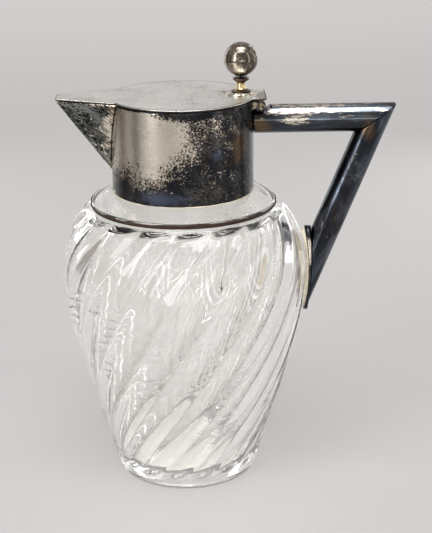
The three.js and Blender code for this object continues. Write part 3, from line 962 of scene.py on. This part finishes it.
    def skin(self) -> Piece:
        """Makes the glass as one closed skin, from the middle of the foot round to the bottom of the bore."""
        outline = self.outline()
        turns = self.twist(outline)
        low_turn, high_turn = float(turns[0]), float(turns[-1])
        top = self.shoulder[-1][1]
        ring_top = top + self.ring_step
        at_neck = ring_top + (self.ring_radius - self.neck_radius) * self.ring_slope
        neck_bore = self.neck_radius - self.neck_wall
        edge, inside = self.foot_radius, self.foot_radius - self.foot_rest
        foot = self.plain([
            (0.0, self.foot_hollow, 0), (inside - 3, self.foot_hollow, 0.5), (inside, 0.0, 0.5),
            (edge, 0.0, 0.9), (edge + 0.3, 1.0, 0),
        ], low_turn)
        ring, neck = self.ring_radius, self.neck_radius
        above = self.plain([
            (ring + 0.6, top, 0), (ring, top, 0.25), (ring, ring_top, 0.6), (neck, at_neck, 0.8),
            (neck, self.neck_top, 1.0), (neck_bore, self.neck_top, 1.0),
            (neck_bore, at_neck - self.neck_wall, 1.2),
            (self.shoulder[-1][0] - 2.5, top - self.wall + 0.6, 0),
        ], high_turn)
        bore = self.bore(outline, high_turn)
        inner = math.hypot(bore[-1, 0, 0], bore[-1, 0, 1])
        start = (inner - 0.6, self.base + self.wall - 1.5, 0)
        floor = self.plain([start, (inner - 3.5, self.base, 3.0), (0.0, self.base + 0.8, 0)], high_turn)
        rows = np.concatenate([foot, self.fluted(outline[2:]), above, bore, floor])
        x, y, height = np.moveaxis(rows, -1, 0)
        back = -np.interp(height, outline[:, 1], turns)
        unwound = point_grid(x * np.cos(back) - y * np.sin(back), x * np.sin(back) + y * np.cos(back), height)
        return turned_piece("fluted_glass", rows, sharp=60.0, unwound=unwound)

    def make(self) -> None:
        """Builds and dresses the glass."""
        seat(self.skin(), Body.JUG, Slot.GLASS, GlassFinish().build(), "glass_body")


@dataclass
class Cement:
    """The plaster that holds the collar and the handle's plate on the glass."""

    datum: Datum
    bead: float = 0.8
    bead_flatness: float = 0.55
    bead_inset: tuple[float, float] = (0.15, 0.1)
    crease_radius: float = 52.6
    crease_height: float = 163.32
    crease_half: float = 1.1
    crease_depth: float = 0.36

    def make(self) -> None:
        """Dresses the two plaster nodes, and adds the squeezed bead and the dark brown line in the ring's
        corner.
        """
        plaster = PlasterFinish().build()
        for node in ("neck_plaster", "plate_plaster"):
            dress(node, plaster)
        seat(self.squeezed_bead(), Body.JUG, Slot.PLASTER, plaster)
        crease_colour = PlasterFinish("crease_dark_line", pale=(0.04, 0.021, 0.012), dark=(0.014, 0.009, 0.006))
        seat(self.crease(), Body.JUG, Slot.PLASTER, crease_colour.build())

    @staticmethod
    def ring(name: str, radius: Grid, around: Grid, z: Grid) -> Piece:
        """A thin ring whose section runs down the grid and whose circle runs along it."""
        points = about_axis(radius, around, z)
        return turned_piece(name, np.concatenate([points, points[:1]]))

    def crease(self) -> Piece:
        """A thin dark brown band in the corner under the ring, whose height wanders."""
        around, section = full_turn(300)[None, :], full_turn(8)[:, None]
        wander = 0.2 * np.sin(3 * around + 1.0) + 0.14 * np.sin(13 * around) * np.sin(5 * around)
        radius = self.crease_radius + self.crease_depth * np.cos(section)
        z = self.crease_height + (self.crease_half + wander) * (1 + np.sin(section))
        return self.ring("crease_line", radius, around, z)

    def squeezed_bead(self) -> Piece:
        """A thin ring under the collar whose thickness wanders: a small circle carried round the collar."""
        around, section = full_turn(240)[None, :], full_turn(10)[:, None]
        wander = 0.25 * np.sin(3 * around + 0.4) + 0.3 * np.sin(11 * around) * np.sin(4 * around + 0.7)
        size = self.bead * (0.65 + wander + 0.12 * np.sin(29 * around + 1.0) * np.sin(7 * around))
        radius = self.datum.collar_radius - self.bead_inset[0] + size * np.cos(section)
        z = self.datum.collar_low - self.bead_inset[1] + self.bead_flatness * size * np.sin(section)
        return self.ring("plaster_bead", radius, around, z)


@dataclass
class Collar:
    """The soldered collar and its folded beak spout."""

    datum: Datum
    wall: float = 1.0
    sheet: float = 1.0
    gap: float = 0.3
    tip_half_width: float = 5.0
    least_half_width: float = 0.15
    spread: float = 0.412
    closing: float = 0.392
    depth: float = 40.5
    foot_gap: float = 0.6

    @property
    def run(self) -> float:
        """How far the keel comes in for each millimetre of depth."""
        return (self.datum.spout_tip - self.datum.collar_radius) / self.depth

    def half_width(self, x: Grid, depth: Grid, inset: float = 0.0) -> Grid:
        """The wedge's half width: it grows with the way in from the tip and shrinks with depth."""
        thinning = inset * math.hypot(1, self.spread, self.closing)
        widened = self.tip_half_width + self.spread * (x + self.datum.spout_tip)
        return widened - self.closing * depth - thinning

    def keel(self, depth: Grid, inset: float = 0.0) -> Grid:
        """The keel's x at a depth below the rim, on a straight line from the tip to the collar."""
        return -self.datum.spout_tip + self.run * depth + inset * math.hypot(1, self.run)

    def opening_top(self, angle: Grid, radius: float) -> Grid:
        """The collar's upper edge at each angle: the rim, or behind the spout the wedge's section."""
        x, y = radius * np.cos(angle), radius * np.sin(angle)
        by_cheek = (self.half_width(x, 0.0, self.sheet) - np.abs(y)) / self.closing
        by_keel = (x + self.datum.spout_tip - self.sheet * math.hypot(1, self.run)) / self.run
        depth = np.where(x < 0, np.clip(np.minimum(by_cheek, by_keel), 0, None), 0)
        return self.datum.collar_high - depth

    def band(self) -> Piece:
        """The collar: two upright faces on circles, from the lower edge to the rim or the opening's edge."""
        turn = full_turn(720)
        share = np.linspace(0, 1, 40)[:, None]
        faces = []
        for radius in (self.datum.collar_radius, self.datum.collar_radius - self.wall):
            z = self.datum.collar_low + share * (self.opening_top(turn, radius) - self.datum.collar_low)
            faces.append(point_grid(radius * np.cos(turn), radius * np.sin(turn), z))
        return sheet_piece("collar_sheet", *faces, wrap=True, sharp=50)

    def spout_face(self, inset: float, rows: int = 60, columns: int = 48) -> Grid:
        """One face of the spout: a trapezoid at each depth, open towards the collar.

        Args:
            inset: how far the face lies inside the outer one.
            rows: the number of depths.
            columns: points along each cheek.

        Returns:
            The grid, along one cheek, across the keel and back along the other cheek.
        """
        depth = np.linspace(0, self.depth - self.foot_gap, rows)[:, None]
        keel = self.keel(depth, inset)
        half = np.maximum(self.half_width(keel, depth, inset), self.least_half_width)
        radius = self.datum.collar_radius + self.gap
        edge = math.atan(self.spread)
        at_axis = self.half_width(0.0, depth, inset) * math.cos(edge)
        meet = np.pi / 2 + edge + np.arccos(np.clip(at_axis / radius, -1, 1))
        root_x = np.maximum(np.minimum(radius * np.cos(meet), -0.1), keel + 0.1)
        cheek_x = keel + np.linspace(1, 0, columns)[None, :] * (root_x - keel)
        cheek_y = half + self.spread * (cheek_x - keel)
        front = np.linspace(1, -1, 13)[None, 1:-1]
        x = np.concatenate([cheek_x, np.broadcast_to(keel, (rows, front.shape[1])), cheek_x[:, ::-1]], 1)
        y = np.concatenate([cheek_y, half * front, -cheek_y[:, ::-1]], 1)
        return point_grid(x, y, self.datum.collar_high - depth)

    def make(self) -> None:
        """Builds and dresses the collar and the spout."""
        collar = PlateFinish(
            "collar_plate", silver=(0.74, 0.675, 0.575), film=(0.024, 0.026, 0.031), haze=(0.085, 0.1, 0.145),
            worn_and_highlight=spot_rows(
                (-22, -34, 208, 42, 60, 33, 1.9), (-39, -14, 205, 12, 20, 30, 1.4),
                (20, -37, 214, 22, 30, 14, 0.5), (22, -34, 200, 24, 30, 26, 0.42),
                (-30, -26, 183, 9, 14, 7, 0.4),
            ),
            kept=spot_rows((0, -39, 224, 22, 16, 6, 1.6), (0, 0, 224.4, 400, 400, 2, 4)),
            # The haze-and-sheen spot low at the front, at z 176, lightens the film to the haze colour: a
            # painted pale blue sheen.
            haze_and_sheen=spot_rows(
                (19, -34, 199, 8, 14, 6, 0.6), (-12, -37, 176, 24, 16, 7, 0.9),
                (39.5, -8, 205, 4, 10, 30, 0.9),
            ),
            stains_and_shade=spot_rows((31, -25, 202, 8, 14, 18, 0.9)),
            cloud=(0.56, 0.85), wear=-0.66, coarse=1.3, speckle=2.4, curl=0.48, curl_scale=240.0,
            softness=0.08, scratch=0.7, scratch_tone=0.3,
        )
        spout = PlateFinish(
            "spout_plate", silver=(0.80, 0.74, 0.60), film=(0.014, 0.018, 0.017), haze=(0.15, 0.16, 0.15),
            worn_and_highlight=spot_rows((-40.5, -14, 206, 6.5, 20, 46, 1.1)),
            kept=spot_rows((-44, -14, 220, 7, 12, 5, 0.9)),
            stains_and_shade=spot_rows((-37, -14, 206, 3.5, 20, 46, 1.2)),
            edges=(
                EdgeWear((1.0, 0.0, 0.728), -69.5 + 0.728 * 223.5, 1.2, 0.6),
                EdgeWear((0.0, 0.0, 1.0), 223.5, 1.2, 0.3),
            ),
            drawn=(0.4, 1.0, 1.3), lean=-38.0, cloud=(0.52, 0.64), wear=-0.66, speckle=2.2, curl=1.1,
            curl_scale=120.0, scratch=1.0, scratch_tone=0.6, scratch_colour=(0.75, 0.74, 0.70),
        )
        seat(self.band(), Body.JUG, Slot.TARNISHED, collar.build(), "collar_band")
        folded = sheet_piece("spout_sheet", self.spout_face(0.0), self.spout_face(self.sheet), sharp=25)
        seat(folded, Body.JUG, Slot.TARNISHED, spout.build(), "spout")


@dataclass
class HandleTubes:
    """The arm, the leaning grip and the oval plate that carries the grip on the glass."""

    datum: Datum
    wall: float = 1.0
    gap: float = 0.3
    foot: tuple[float, float] = (73.6, 124.5)
    first_lean: float = 22.0
    grip_reach: tuple[float, float] = (20.0, 160.0)
    plate_thickness: float = 1.2
    inner_bend: float = 113.0
    outer_bend: float = 300.0
    crest: float = 9.0
    inner_crest: float = 72.4
    blunt: float = 85.0
    notch_radius: float = 7.16
    notch_depth: float = 4.0
    room_radius: float = 5.3
    columns: int = 128
    rows: int = 60

    @classmethod
    def corner(cls, lean: float) -> float:
        """Where the tubes' axes meet: the arm's tip less the mitre's run, and half the solder's gap more."""
        low, high = node_box("handle_arm")
        mitre = (math.pi / 2 - lean) / 2
        return high[0] + cls.gap / 2 / math.sin(mitre) - (high[2] - low[2]) / 2 / math.tan(mitre)

    @classmethod
    def grip_lean(cls) -> float:
        """The grip's lean in radians, stepped until it runs from the corner to the plate's middle."""
        low, high = node_box("handle_arm")
        lean = math.radians(cls.first_lean)
        for _ in range(20):
            lean = math.atan2(cls.corner(lean) - cls.foot[0], (low[2] + high[2]) / 2 - cls.foot[1])
        return lean

    @classmethod
    def mitre(cls) -> tuple[float, float]:
        """The tangent of half the angle between the tubes, and half the solder's gap along an axis."""
        half = (math.pi / 2 - cls.grip_lean()) / 2
        return math.tan(half), cls.gap / 2 / math.sin(half)

    def plate_face(self, height: Grid, outer: bool) -> Grid:
        """The plate's radius from the jug's axis by height, on a flat arc."""
        off = height - self.datum.plate_middle
        if outer:
            return self.inner_crest + self.plate_thickness - (off - self.crest) ** 2 / (2 * self.outer_bend)
        return self.inner_crest - off**2 / (2 * self.inner_bend)

    def arm_face(self, radius: float) -> Grid:
        """A cylinder along X from the collar, or the hinge's notch, to the mitre's plane.

        Args:
            radius: the face's radius.

        Returns:
            The grid: at each angle the start is on the collar's circle or on the notch's arc, and the end
            is on the mitre, x = corner + z / tan(half the angle between the tubes).
        """
        angle = full_turn(self.columns)
        y, z = radius * np.cos(angle), radius * np.sin(angle)
        start = np.sqrt((self.datum.collar_radius + self.gap) ** 2 - y**2)
        hinge_x, _, hinge_z = self.datum.hinge
        down = hinge_z - (self.datum.arm_height + z)
        room = np.sqrt(np.clip(self.room_radius**2 - down**2, 0, None))
        swing = np.sqrt(np.clip(self.notch_radius**2 - down**2, 0, None))
        notch = hinge_x + np.where(down < self.notch_depth, swing, room)
        start = np.where(down < self.room_radius, np.maximum(start, notch), start)
        tangent, gap = self.mitre()
        end = self.datum.corner + z / tangent - gap
        share = np.linspace(0, 1, self.rows)[:, None]
        return point_grid(start + share * (end - start), y, self.datum.arm_height + z)

    def grip_face(self, radius: float) -> Grid:
        """A leaning cylinder from the mitre's plane down to the plate's outer face.

        Args:
            radius: the face's radius.

        Returns:
            The grid. Along each line the foot is found by halving the way until it lies on the plate.
        """
        lean = self.grip_lean()
        angle = full_turn(self.columns)
        side, y = radius * np.sin(angle), radius * np.cos(angle)

        def at(way: Grid) -> tuple[Grid, Grid]:
            """x and z at a way down the axis from the corner."""
            x = self.datum.corner - math.sin(lean) * way + math.cos(lean) * side
            return x, self.datum.arm_height - math.cos(lean) * way - math.sin(lean) * side

        tangent, gap = self.mitre()
        start = -side / tangent + gap
        low, high = (np.full_like(angle, way) for way in self.grip_reach)
        for _ in range(40):
            middle = (low + high) / 2
            x, z = at(middle)
            outside = np.hypot(x, y) > self.plate_face(z, True) + self.gap
            low, high = np.where(outside, middle, low), np.where(outside, high, middle)
        share = np.linspace(0, 1, self.rows)[:, None]
        x, z = at(start + share * (low - start))
        return point_grid(x, y, z)

    def plate(self) -> Piece:
        """The oval plate: height is middle + half height times sin a / sin 85, and half width times cos a."""
        blunt = math.radians(self.blunt)
        angle = np.linspace(-blunt, blunt, 60)[:, None]
        height = self.datum.plate_middle + self.datum.plate_half * np.sin(angle) / math.sin(blunt)
        y = self.datum.plate_half_width * np.cos(angle) * np.linspace(-1, 1, 30)[None, :]
        faces = (point_grid(np.sqrt(self.plate_face(height, outer) ** 2 - y**2), y, height)
                 for outer in (True, False))
        return sheet_piece("oval_plate", *faces, sharp=40)

    def make(self) -> None:
        """Builds and dresses the arm, the grip and the plate."""
        arm = PlateFinish(
            "arm_plate", film=(0.03, 0.034, 0.042), haze=(0.17, 0.20, 0.24),
            # The long worn spot along the top bares the silver where the overhead lamp's highlight falls:
            # wear and a painted highlight, broken up by the kept spots.
            worn_and_highlight=spot_rows(
                (74, -4.8, 216.9, 62, 7, 5, 1.2), (62, -8, 211.6, 12, 5, 4.6, 1.2),
                (88, -7.5, 213, 10, 4, 2.8, 0.8),
            ),
            kept=spot_rows((70, -4, 217.5, 60, 3, 0.8, 0.9), (97, -6, 215, 22, 5, 0.7, 0.9)),
            # Both haze-and-sheen spots paint a sheen: they lighten the film to its blue-grey haze colour in
            # the band under the highlight and along the highlight at the top.
            haze_and_sheen=spot_rows((76, -7.8, 212.5, 46, 8, 4, 0.8), (76, -4, 217.5, 60, 8, 3, 1.2)),
            stains_and_shade=spot_rows((44, -6, 208, 8, 10, 10, 0.9), (104, -6, 209, 7, 8, 8, 0.8)),
            drawn=(0.22, 1.0, 1.0), film_rough=0.2, wear=-0.62, speckle=3.0, coarse=2.2,
        )
        grip = PlateFinish(
            "grip_plate", film=(0.028, 0.031, 0.038), haze=(0.11, 0.13, 0.16),
            worn_and_highlight=spot_rows((80, -6, 150, 12, 9, 26, 0.36), (96, -6, 190, 10, 8, 26, 0.26)),
            stains_and_shade=spot_rows((104, -6, 205, 7, 8, 12, 0.7)),
            drawn=(1.0, 1.0, 0.25), lean=-22.0, film_rough=0.2, cloud=(0.42, 0.62), wear=-0.62, speckle=2.2,
            coarse=1.2,
        )
        # Its worn spot bares the silver on the upper part of the plate's front edge: a painted highlight,
        # lighter at the top where that edge faces up.
        plate = PlateFinish(
            "oval_plate_silver", wear=-0.55, worn_and_highlight=spot_rows((71, -9.5, 137, 5, 5, 16, 1.8)))
        tube = self.datum.tube_radius
        for name, face, finish, node in (("arm_tube", self.arm_face, arm, "handle_arm"),
                                         ("grip_tube", self.grip_face, grip, "handle_grip")):
            piece = sheet_piece(name, face(tube), face(tube - self.wall), wrap=True)
            seat(piece, Body.JUG, Slot.TARNISHED, finish.build(), node)
        seat(self.plate(), Body.JUG, Slot.TARNISHED, plate.build(), "handle_plate")


@dataclass
class Lid:
    """The flat lid with its tongue over the spout and its tab over the hinge."""

    datum: Datum
    overhang: float = 0.6
    tab_half_width: float = 12.5
    tab_corner: float = 2.5
    tip_half_width: float = 5.3
    nose: float = 0.8
    spread: float = 0.412
    painted_rim_shade: float = 0.42

    def outline(self) -> Grid:
        """The lid's outline as points: the disc's arcs, the tab's round corners and the tongue's tip.

        Returns:
            The points once round. Arcs are joined by straight stretches of a few points each.
        """
        radius = self.datum.collar_radius + self.overhang
        tip = self.datum.spout_tip + self.overhang / 2
        edge = math.atan(self.spread)
        quarter = math.pi / 2
        at_axis = (self.tip_half_width + self.spread * self.datum.spout_tip) * math.cos(edge)
        root = quarter + edge + math.acos(at_axis / radius)
        tab = math.asin(self.tab_half_width / radius)
        corner_x, corner_y = self.datum.tab_end - self.tab_corner, self.tab_half_width - self.tab_corner
        nose_x, nose_y = self.nose - tip, self.tip_half_width - self.nose

        def arc(x: float, y: float, size: float, start: float, end: float, count: int) -> Grid:
            """Points on an arc."""
            turn = np.linspace(start, end, count)
            return np.stack([x + size * np.cos(turn), y + size * np.sin(turn)], -1)

        arcs = (
            arc(0, 0, radius, -root, -tab, 120),
            arc(corner_x, -corner_y, self.tab_corner, -quarter, 0, 9),
            arc(corner_x, corner_y, self.tab_corner, 0, quarter, 9),
            arc(0, 0, radius, tab, root, 120),
            arc(nose_x, nose_y, self.nose, quarter + edge, math.pi, 5),
            arc(nose_x, -nose_y, self.nose, -math.pi, -quarter - edge, 5),
        )
        pieces = []
        for here, there, count in zip(arcs, arcs[1:] + arcs[:1], (4, 16, 4, 30, 8, 30)):
            share = np.linspace(0, 1, count + 2)[1:-1, None]
            pieces += [here, here[-1] + (there[0] - here[-1]) * share]
        return np.concatenate(pieces)

    def plate(self) -> Piece:
        """The plate: the outline drawn in towards the middle in even steps, at the upper and lower height."""
        share = np.concatenate([np.linspace(0, 0.97, 30), [0.985, 0.992, 0.996, 1.0]])[:, None, None]
        flat = self.outline()[None] * share
        faces = (point_grid(flat[..., 0], flat[..., 1], z) for z in (self.datum.lid_high, self.datum.lid_low))
        return sheet_piece("lid_sheet", *faces, wrap=True, from_centre=True, sharp=50)

    def make(self) -> None:
        """Builds and dresses the lid, whose rim below its upper edge is painted dark brown as a shadow line.
        """
        # Painted shade: the lower band of the rim keeps its film and is painted dark brown, the shadow line
        # between the lid and the collar.
        rim = Spot((0.0, 0.0, self.datum.lid_low + 0.44), (900.0, 900.0, self.painted_rim_shade), 9.0)
        silver = PlateFinish(
            "lid_silver", silver=(0.84, 0.825, 0.79), film=(0.30, 0.27, 0.23), haze=(0.40, 0.38, 0.34),
            brown=(0.10, 0.075, 0.06), wear=0.5, coarse=1.4, speckle=1.2, silver_rough=0.36,
            kept=(*spot_rows((46, -6, 225, 9, 18, 4, 1.2), (26, 3, 225, 9, 11, 4, 0.7)), rim),
            stains_and_shade=(rim,), scratch=1.1, scratch_tone=0.85, scratch_colour=(0.26, 0.25, 0.23), dent_depth=0.03,
        )
        seat(self.plate(), Body.LID, Slot.WORN, silver.build(), "lid_plate")


@dataclass
class ThumbPiece:
    """The turned base, stem and hollow ball that the thumb pushes."""

    datum: Datum
    base: tuple[Triple, ...] = (
        (0.0, 0.0, 0), (8.5, 0.0, 0), (8.5, 0.9, 0.3), (7.3, 0.9, 0.1), (7.3, 1.5, 0.25), (0.0, 1.5, 0),
    )
    stem: tuple[Triple, ...] = (
        (0.0, 1.5, 0), (6.3, 1.75, 0.25), (5.4, 2.1, 2.0), (3.4, 2.9, 2.0), (2.4, 4.6, 2.0), (2.4, 6.2, 1.0),
        (3.2, 7.4, 0.4), (4.2, 7.8, 0.2), (4.7, 8.4, 0.5), (4.7, 9.1, 0.5), (4.0, 9.6, 0.3), (0.0, 9.9, 0),
    )
    columns: int = 96

    def make(self) -> None:
        """Builds and dresses the base, the stem and the ball."""
        x, y, ball_z = self.datum.ball
        top, radius = self.datum.lid_high, self.datum.ball_radius
        base = rounded([(r, top + z, size) for r, z, size in self.base])
        stem = rounded([(r, top + z, size) for r, z, size in self.stem])
        turn = np.linspace(-np.pi / 2, np.pi / 2, 60)
        ball = np.stack([radius * np.cos(turn), ball_z + radius * np.sin(turn)], -1)
        silver = PlateFinish(
            "thumb_silver", silver=(0.62, 0.58, 0.50), wear=0.2, silver_rough=0.2, coarse=1.2, speckle=2.0)
        brass = PlateFinish(
            "stem_brass", silver=(0.66, 0.52, 0.27), film=(0.07, 0.06, 0.045), haze=(0.26, 0.23, 0.17),
            wear=-0.2, silver_rough=0.2, worn_and_highlight=(Spot((x, y, top + 5.0), (6.0, 6.0, 3.4), 1.3),))
        brown = PlateFinish(
            "ball_brown", silver=(0.32, 0.29, 0.245), film=(0.03, 0.026, 0.022), haze=(0.15, 0.13, 0.108),
            brown=(0.15, 0.095, 0.07), cloud=(0.40, 0.60), film_rough=0.15, silver_rough=0.13, wear=-0.16,
            coarse=2.0, speckle=2.0, warmth=0.6, dent_depth=0.2, scratch=0.6)
        around = full_turn(self.columns)
        for node, name, profile, finish, slot in (
            ("thumb_base", "turned_base", base, silver, Slot.WORN),
            ("thumb_stem", "turned_stem", stem, brass, Slot.BRASS),
            ("thumb_ball", "hollow_ball", ball, brown, Slot.BROWN),
        ):
            r, z = profile[:, :1], profile[:, 1:]
            piece = turned_piece(name, point_grid(x + r * np.cos(around), y + r * np.sin(around), z))
            seat(piece, Body.LID, slot, finish.build(), node)


@dataclass
class Hinge:
    """The knuckles, the pin, the bent seat under them and the thumb-piece's nut, dressed as packed."""

    dark: PlateFinish = PlateFinish(
        "hinge_plate", silver=(0.55, 0.50, 0.38), wear=-0.3, coarse=1.3, speckle=1.8)
    brass: PlateFinish = PlateFinish(
        "pin_brass", silver=(0.50, 0.42, 0.25), film=(0.07, 0.06, 0.045), wear=-0.15, speckle=2.2)

    def make(self) -> None:
        """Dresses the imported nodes."""
        dark, brass = self.dark.build(), self.brass.build()
        for slot, material, nodes in (
            (Slot.TARNISHED, dark, ("collar_knuckle_1", "collar_knuckle_2", "collar_knuckle_3")),
            (Slot.TARNISHED, dark, ("hinge_seat",)),
            (Slot.WORN, dark, ("lid_knuckle_1", "lid_knuckle_2")),
            (Slot.BRASS, brass, ("hinge_pin", "thumb_nut")),
        ):
            for node in nodes:
                dress(node, material)


# The studio


@dataclass
class Studio:
    """A seamless pale sweep, soft lamps, two dark cards and the camera, in millimetres and watts."""

    distance: float = 691.0
    height: float = 370.0
    pitch: float = 19.64
    yaw: float = 1.51
    roll: float = -0.57
    lens: float = 85.0
    paper: Triple = (0.47, 0.457, 0.452)
    paper_half: float = 2200.0
    paper_near: float = -2000.0
    paper_wall: float = 2600.0
    paper_bend: float = 1100.0
    world: float = 0.30
    far_glow: float = 0.92
    through_glow: float = 0.2
    through_card: float = 0.6
    through_world: float = 0.56
    lamps: tuple = (
        ("overhead", (0, -330, 1380), (0, -60, 120), (860, 860), 15.5),
        ("left_window", (-480, -470, 470), (0, 0, 170), (190, 720), 2.4),
        ("right_window", (560, -380, 400), (0, 0, 170), (90, 780), 0.7),
        ("front_blind", (150, -880, 190), (0, 0, 150), (600, 50), 0.5),
        ("right_card", (900, 250, 400), (0, 0, 140), (500, 900), 1.6),
        ("left_strip", (-430, 620, 330), (0, 0, 100), (130, 640), 0.7),
        ("right_strip", (430, 620, 330), (0, 0, 100), (130, 640), 0.7),
    )
    cards: tuple = (
        ("near_card", -77.0, 620.0, (130.0, 460.0), (0.05, 0.045, 0.04)),
        ("far_card", -108.0, 620.0, (170.0, 460.0), (0.10, 0.07, 0.05)),
    )
    blind_heights: Triple = (40.0, 190.0, 340.0)
    blind_place: tuple[int, int] = (150, -900)
    blind_aim: Triple = (0, 0, 120)
    blind_size: tuple[int, int] = (1700, 45)
    blind_power: float = 1.0

    def sweep(self) -> None:
        """The paper: a floor that bends up into a wall along a quarter circle, extruded along X."""
        wall, bend = self.paper_wall, self.paper_bend
        turn = np.linspace(0, np.pi / 2, 24)
        arc = np.stack([wall - bend + bend * np.sin(turn), bend - bend * np.cos(turn)], -1)
        profile = np.concatenate([[[self.paper_near, 0.0]], arc, [[wall, wall]]])
        x = np.linspace(-self.paper_half, self.paper_half, 9)[None, :]
        points = point_grid(x, profile[:, :1], profile[:, 1:])
        mesh = new_mesh("paper_sweep", points, skin_faces(*points.shape[:2], wrap=False))
        mesh.shade_smooth()
        sweep = new_object("paper_sweep", mesh)
        material, g = new_material("grey_paper")
        grain = g.noise(g.place(), 700.0, 2.0)
        camera, glossy, through = g.rays("Is Camera Ray", "Is Glossy Ray", "Is Transmission Ray")
        seen = g.math("MAXIMUM", camera, g.math("MAXIMUM", glossy, through))
        far = g.step(g.part(g.place(), "Y"), -0.3, 1.9)
        g.cover({
            "Base Color": g.colour(grain, tuple(c * 0.985 for c in self.paper), self.paper),
            "Roughness": 0.9, "Specular IOR Level": 0.1, "Emission Color": self.paper,
            "Emission Strength": seen * far * self.far_glow + through * self.through_glow,
        })
        mesh.materials.append(material)

    def blinds(self, glass: Piece) -> None:
        """Level strips in front, like a window's blind, that only the glass mirrors in its ripples."""
        receivers = bpy.data.collections.new("lit_by_blinds")
        receivers.objects.link(glass)
        for index, height in enumerate(self.blind_heights):
            place = (*self.blind_place, height)
            strip = self.lamp(f"blind_{index}", place, self.blind_aim, self.blind_size, self.blind_power)
            strip.light_linking.receiver_collection = receivers

    def lamp(self, name: str, place: tuple, aim: tuple, size: tuple, power: float) -> bpy.types.Object:
        """A rectangular softbox.

        Args:
            name: its name.
            place: its middle.
            aim: the point it faces.
            size: width and height.
            power: its power.

        Returns:
            The lamp.
        """
        light = bpy.data.lights.new(name, "AREA")
        light.shape = "RECTANGLE"
        light.size, light.size_y = size[0] * MM, size[1] * MM
        light.energy = power
        lamp = new_object(name, light)
        lamp.visible_camera = False
        lamp.location = Vector(place) * MM
        lamp.rotation_euler = (Vector(aim) - Vector(place)).to_track_quat("-Z", "Y").to_euler()
        return lamp

    def card(self, name: str, azimuth: float, distance: float, size: tuple, colour: Triple) -> None:
        """An upright dark card on the floor that the metal mirrors, outside the view.

        Args:
            name: its name.
            azimuth: its direction from the jug in degrees, from the camera's side towards +X.
            distance: its distance.
            size: width and height.
            colour: its colour.
        """
        turn = math.radians(azimuth)
        middle = np.array([math.sin(turn), -math.cos(turn)]) * distance
        along = np.array([math.cos(turn), math.sin(turn)]) * size[0] / 2
        left, right = middle - along, middle + along
        points = np.array([[*left, 1.0], [*right, 1.0], [*right, size[1]], [*left, size[1]]])
        mesh = new_mesh(name, points, np.array([[0, 1, 2, 3]]))
        piece = new_object(name, mesh)
        piece.visible_camera = False
        material, g = new_material(name + "_board")
        (through,) = g.rays("Is Transmission Ray")
        g.cover({
            "Base Color": colour, "Roughness": 0.9, "Emission Color": self.paper,
            "Emission Strength": through * self.through_card,
        })
        mesh.materials.append(material)

    def camera(self) -> None:
        """The camera at the photograph's angle: turned by yaw, tipped down by pitch, then rolled."""
        pitch, yaw, roll = (math.radians(a) for a in (self.pitch, self.yaw, self.roll))
        ahead = Vector((math.sin(yaw) * math.cos(pitch), math.cos(yaw) * math.cos(pitch), -math.sin(pitch)))
        right = Vector((math.cos(yaw), -math.sin(yaw), 0))
        up = right.cross(ahead)
        across = right * math.cos(roll) + up * math.sin(roll)
        upward = up * math.cos(roll) - right * math.sin(roll)
        data = bpy.data.cameras.new("camera")
        data.lens, data.sensor_width, data.sensor_fit = self.lens, 36.0, "AUTO"
        data.clip_start, data.clip_end = 0.05, 20.0
        camera = new_object("camera", data)
        turn = Matrix((across, upward, -ahead)).transposed().to_4x4()
        camera.matrix_world = Matrix.Translation(Vector((0, -self.distance, self.height)) * MM) @ turn
        bpy.context.scene.camera = camera

    def make(self) -> None:
        """Sets up the sweep, the lamps, the cards, the world and the camera."""
        self.sweep()
        for lamp in self.lamps:
            self.lamp(*lamp)
        for card in self.cards:
            self.card(*card)
        world = bpy.data.worlds.new("studio")
        world.use_nodes = True
        g = Graph(world.node_tree)
        through = g.math("MAXIMUM", *g.rays("Is Transmission Ray", "Is Glossy Ray"))
        strength = g.between(through, self.world, self.through_world)
        background = g.get("ShaderNodeBackground", {"Color": (1, 1, 1), "Strength": strength})
        g.add("ShaderNodeOutputWorld", {0: background})
        bpy.context.scene.world = world
        bpy.context.scene.view_settings.view_transform = "Standard"
        self.camera()


def main() -> None:
    """Builds the studio and the jug's sub-assemblies in order."""
    logging.basicConfig(level=logging.INFO, format="%(name)s: %(message)s")
    datum = Datum.read()
    studio = Studio()
    studio.make()
    for assembly in (GlassBody(), Cement(datum), Collar(datum), HandleTubes(datum), Lid(datum),
                     ThumbPiece(datum), Hinge()):
        assembly.make()
    studio.blinds(bpy.data.objects["fluted_glass"])


if __name__ == "__main__":
    main()
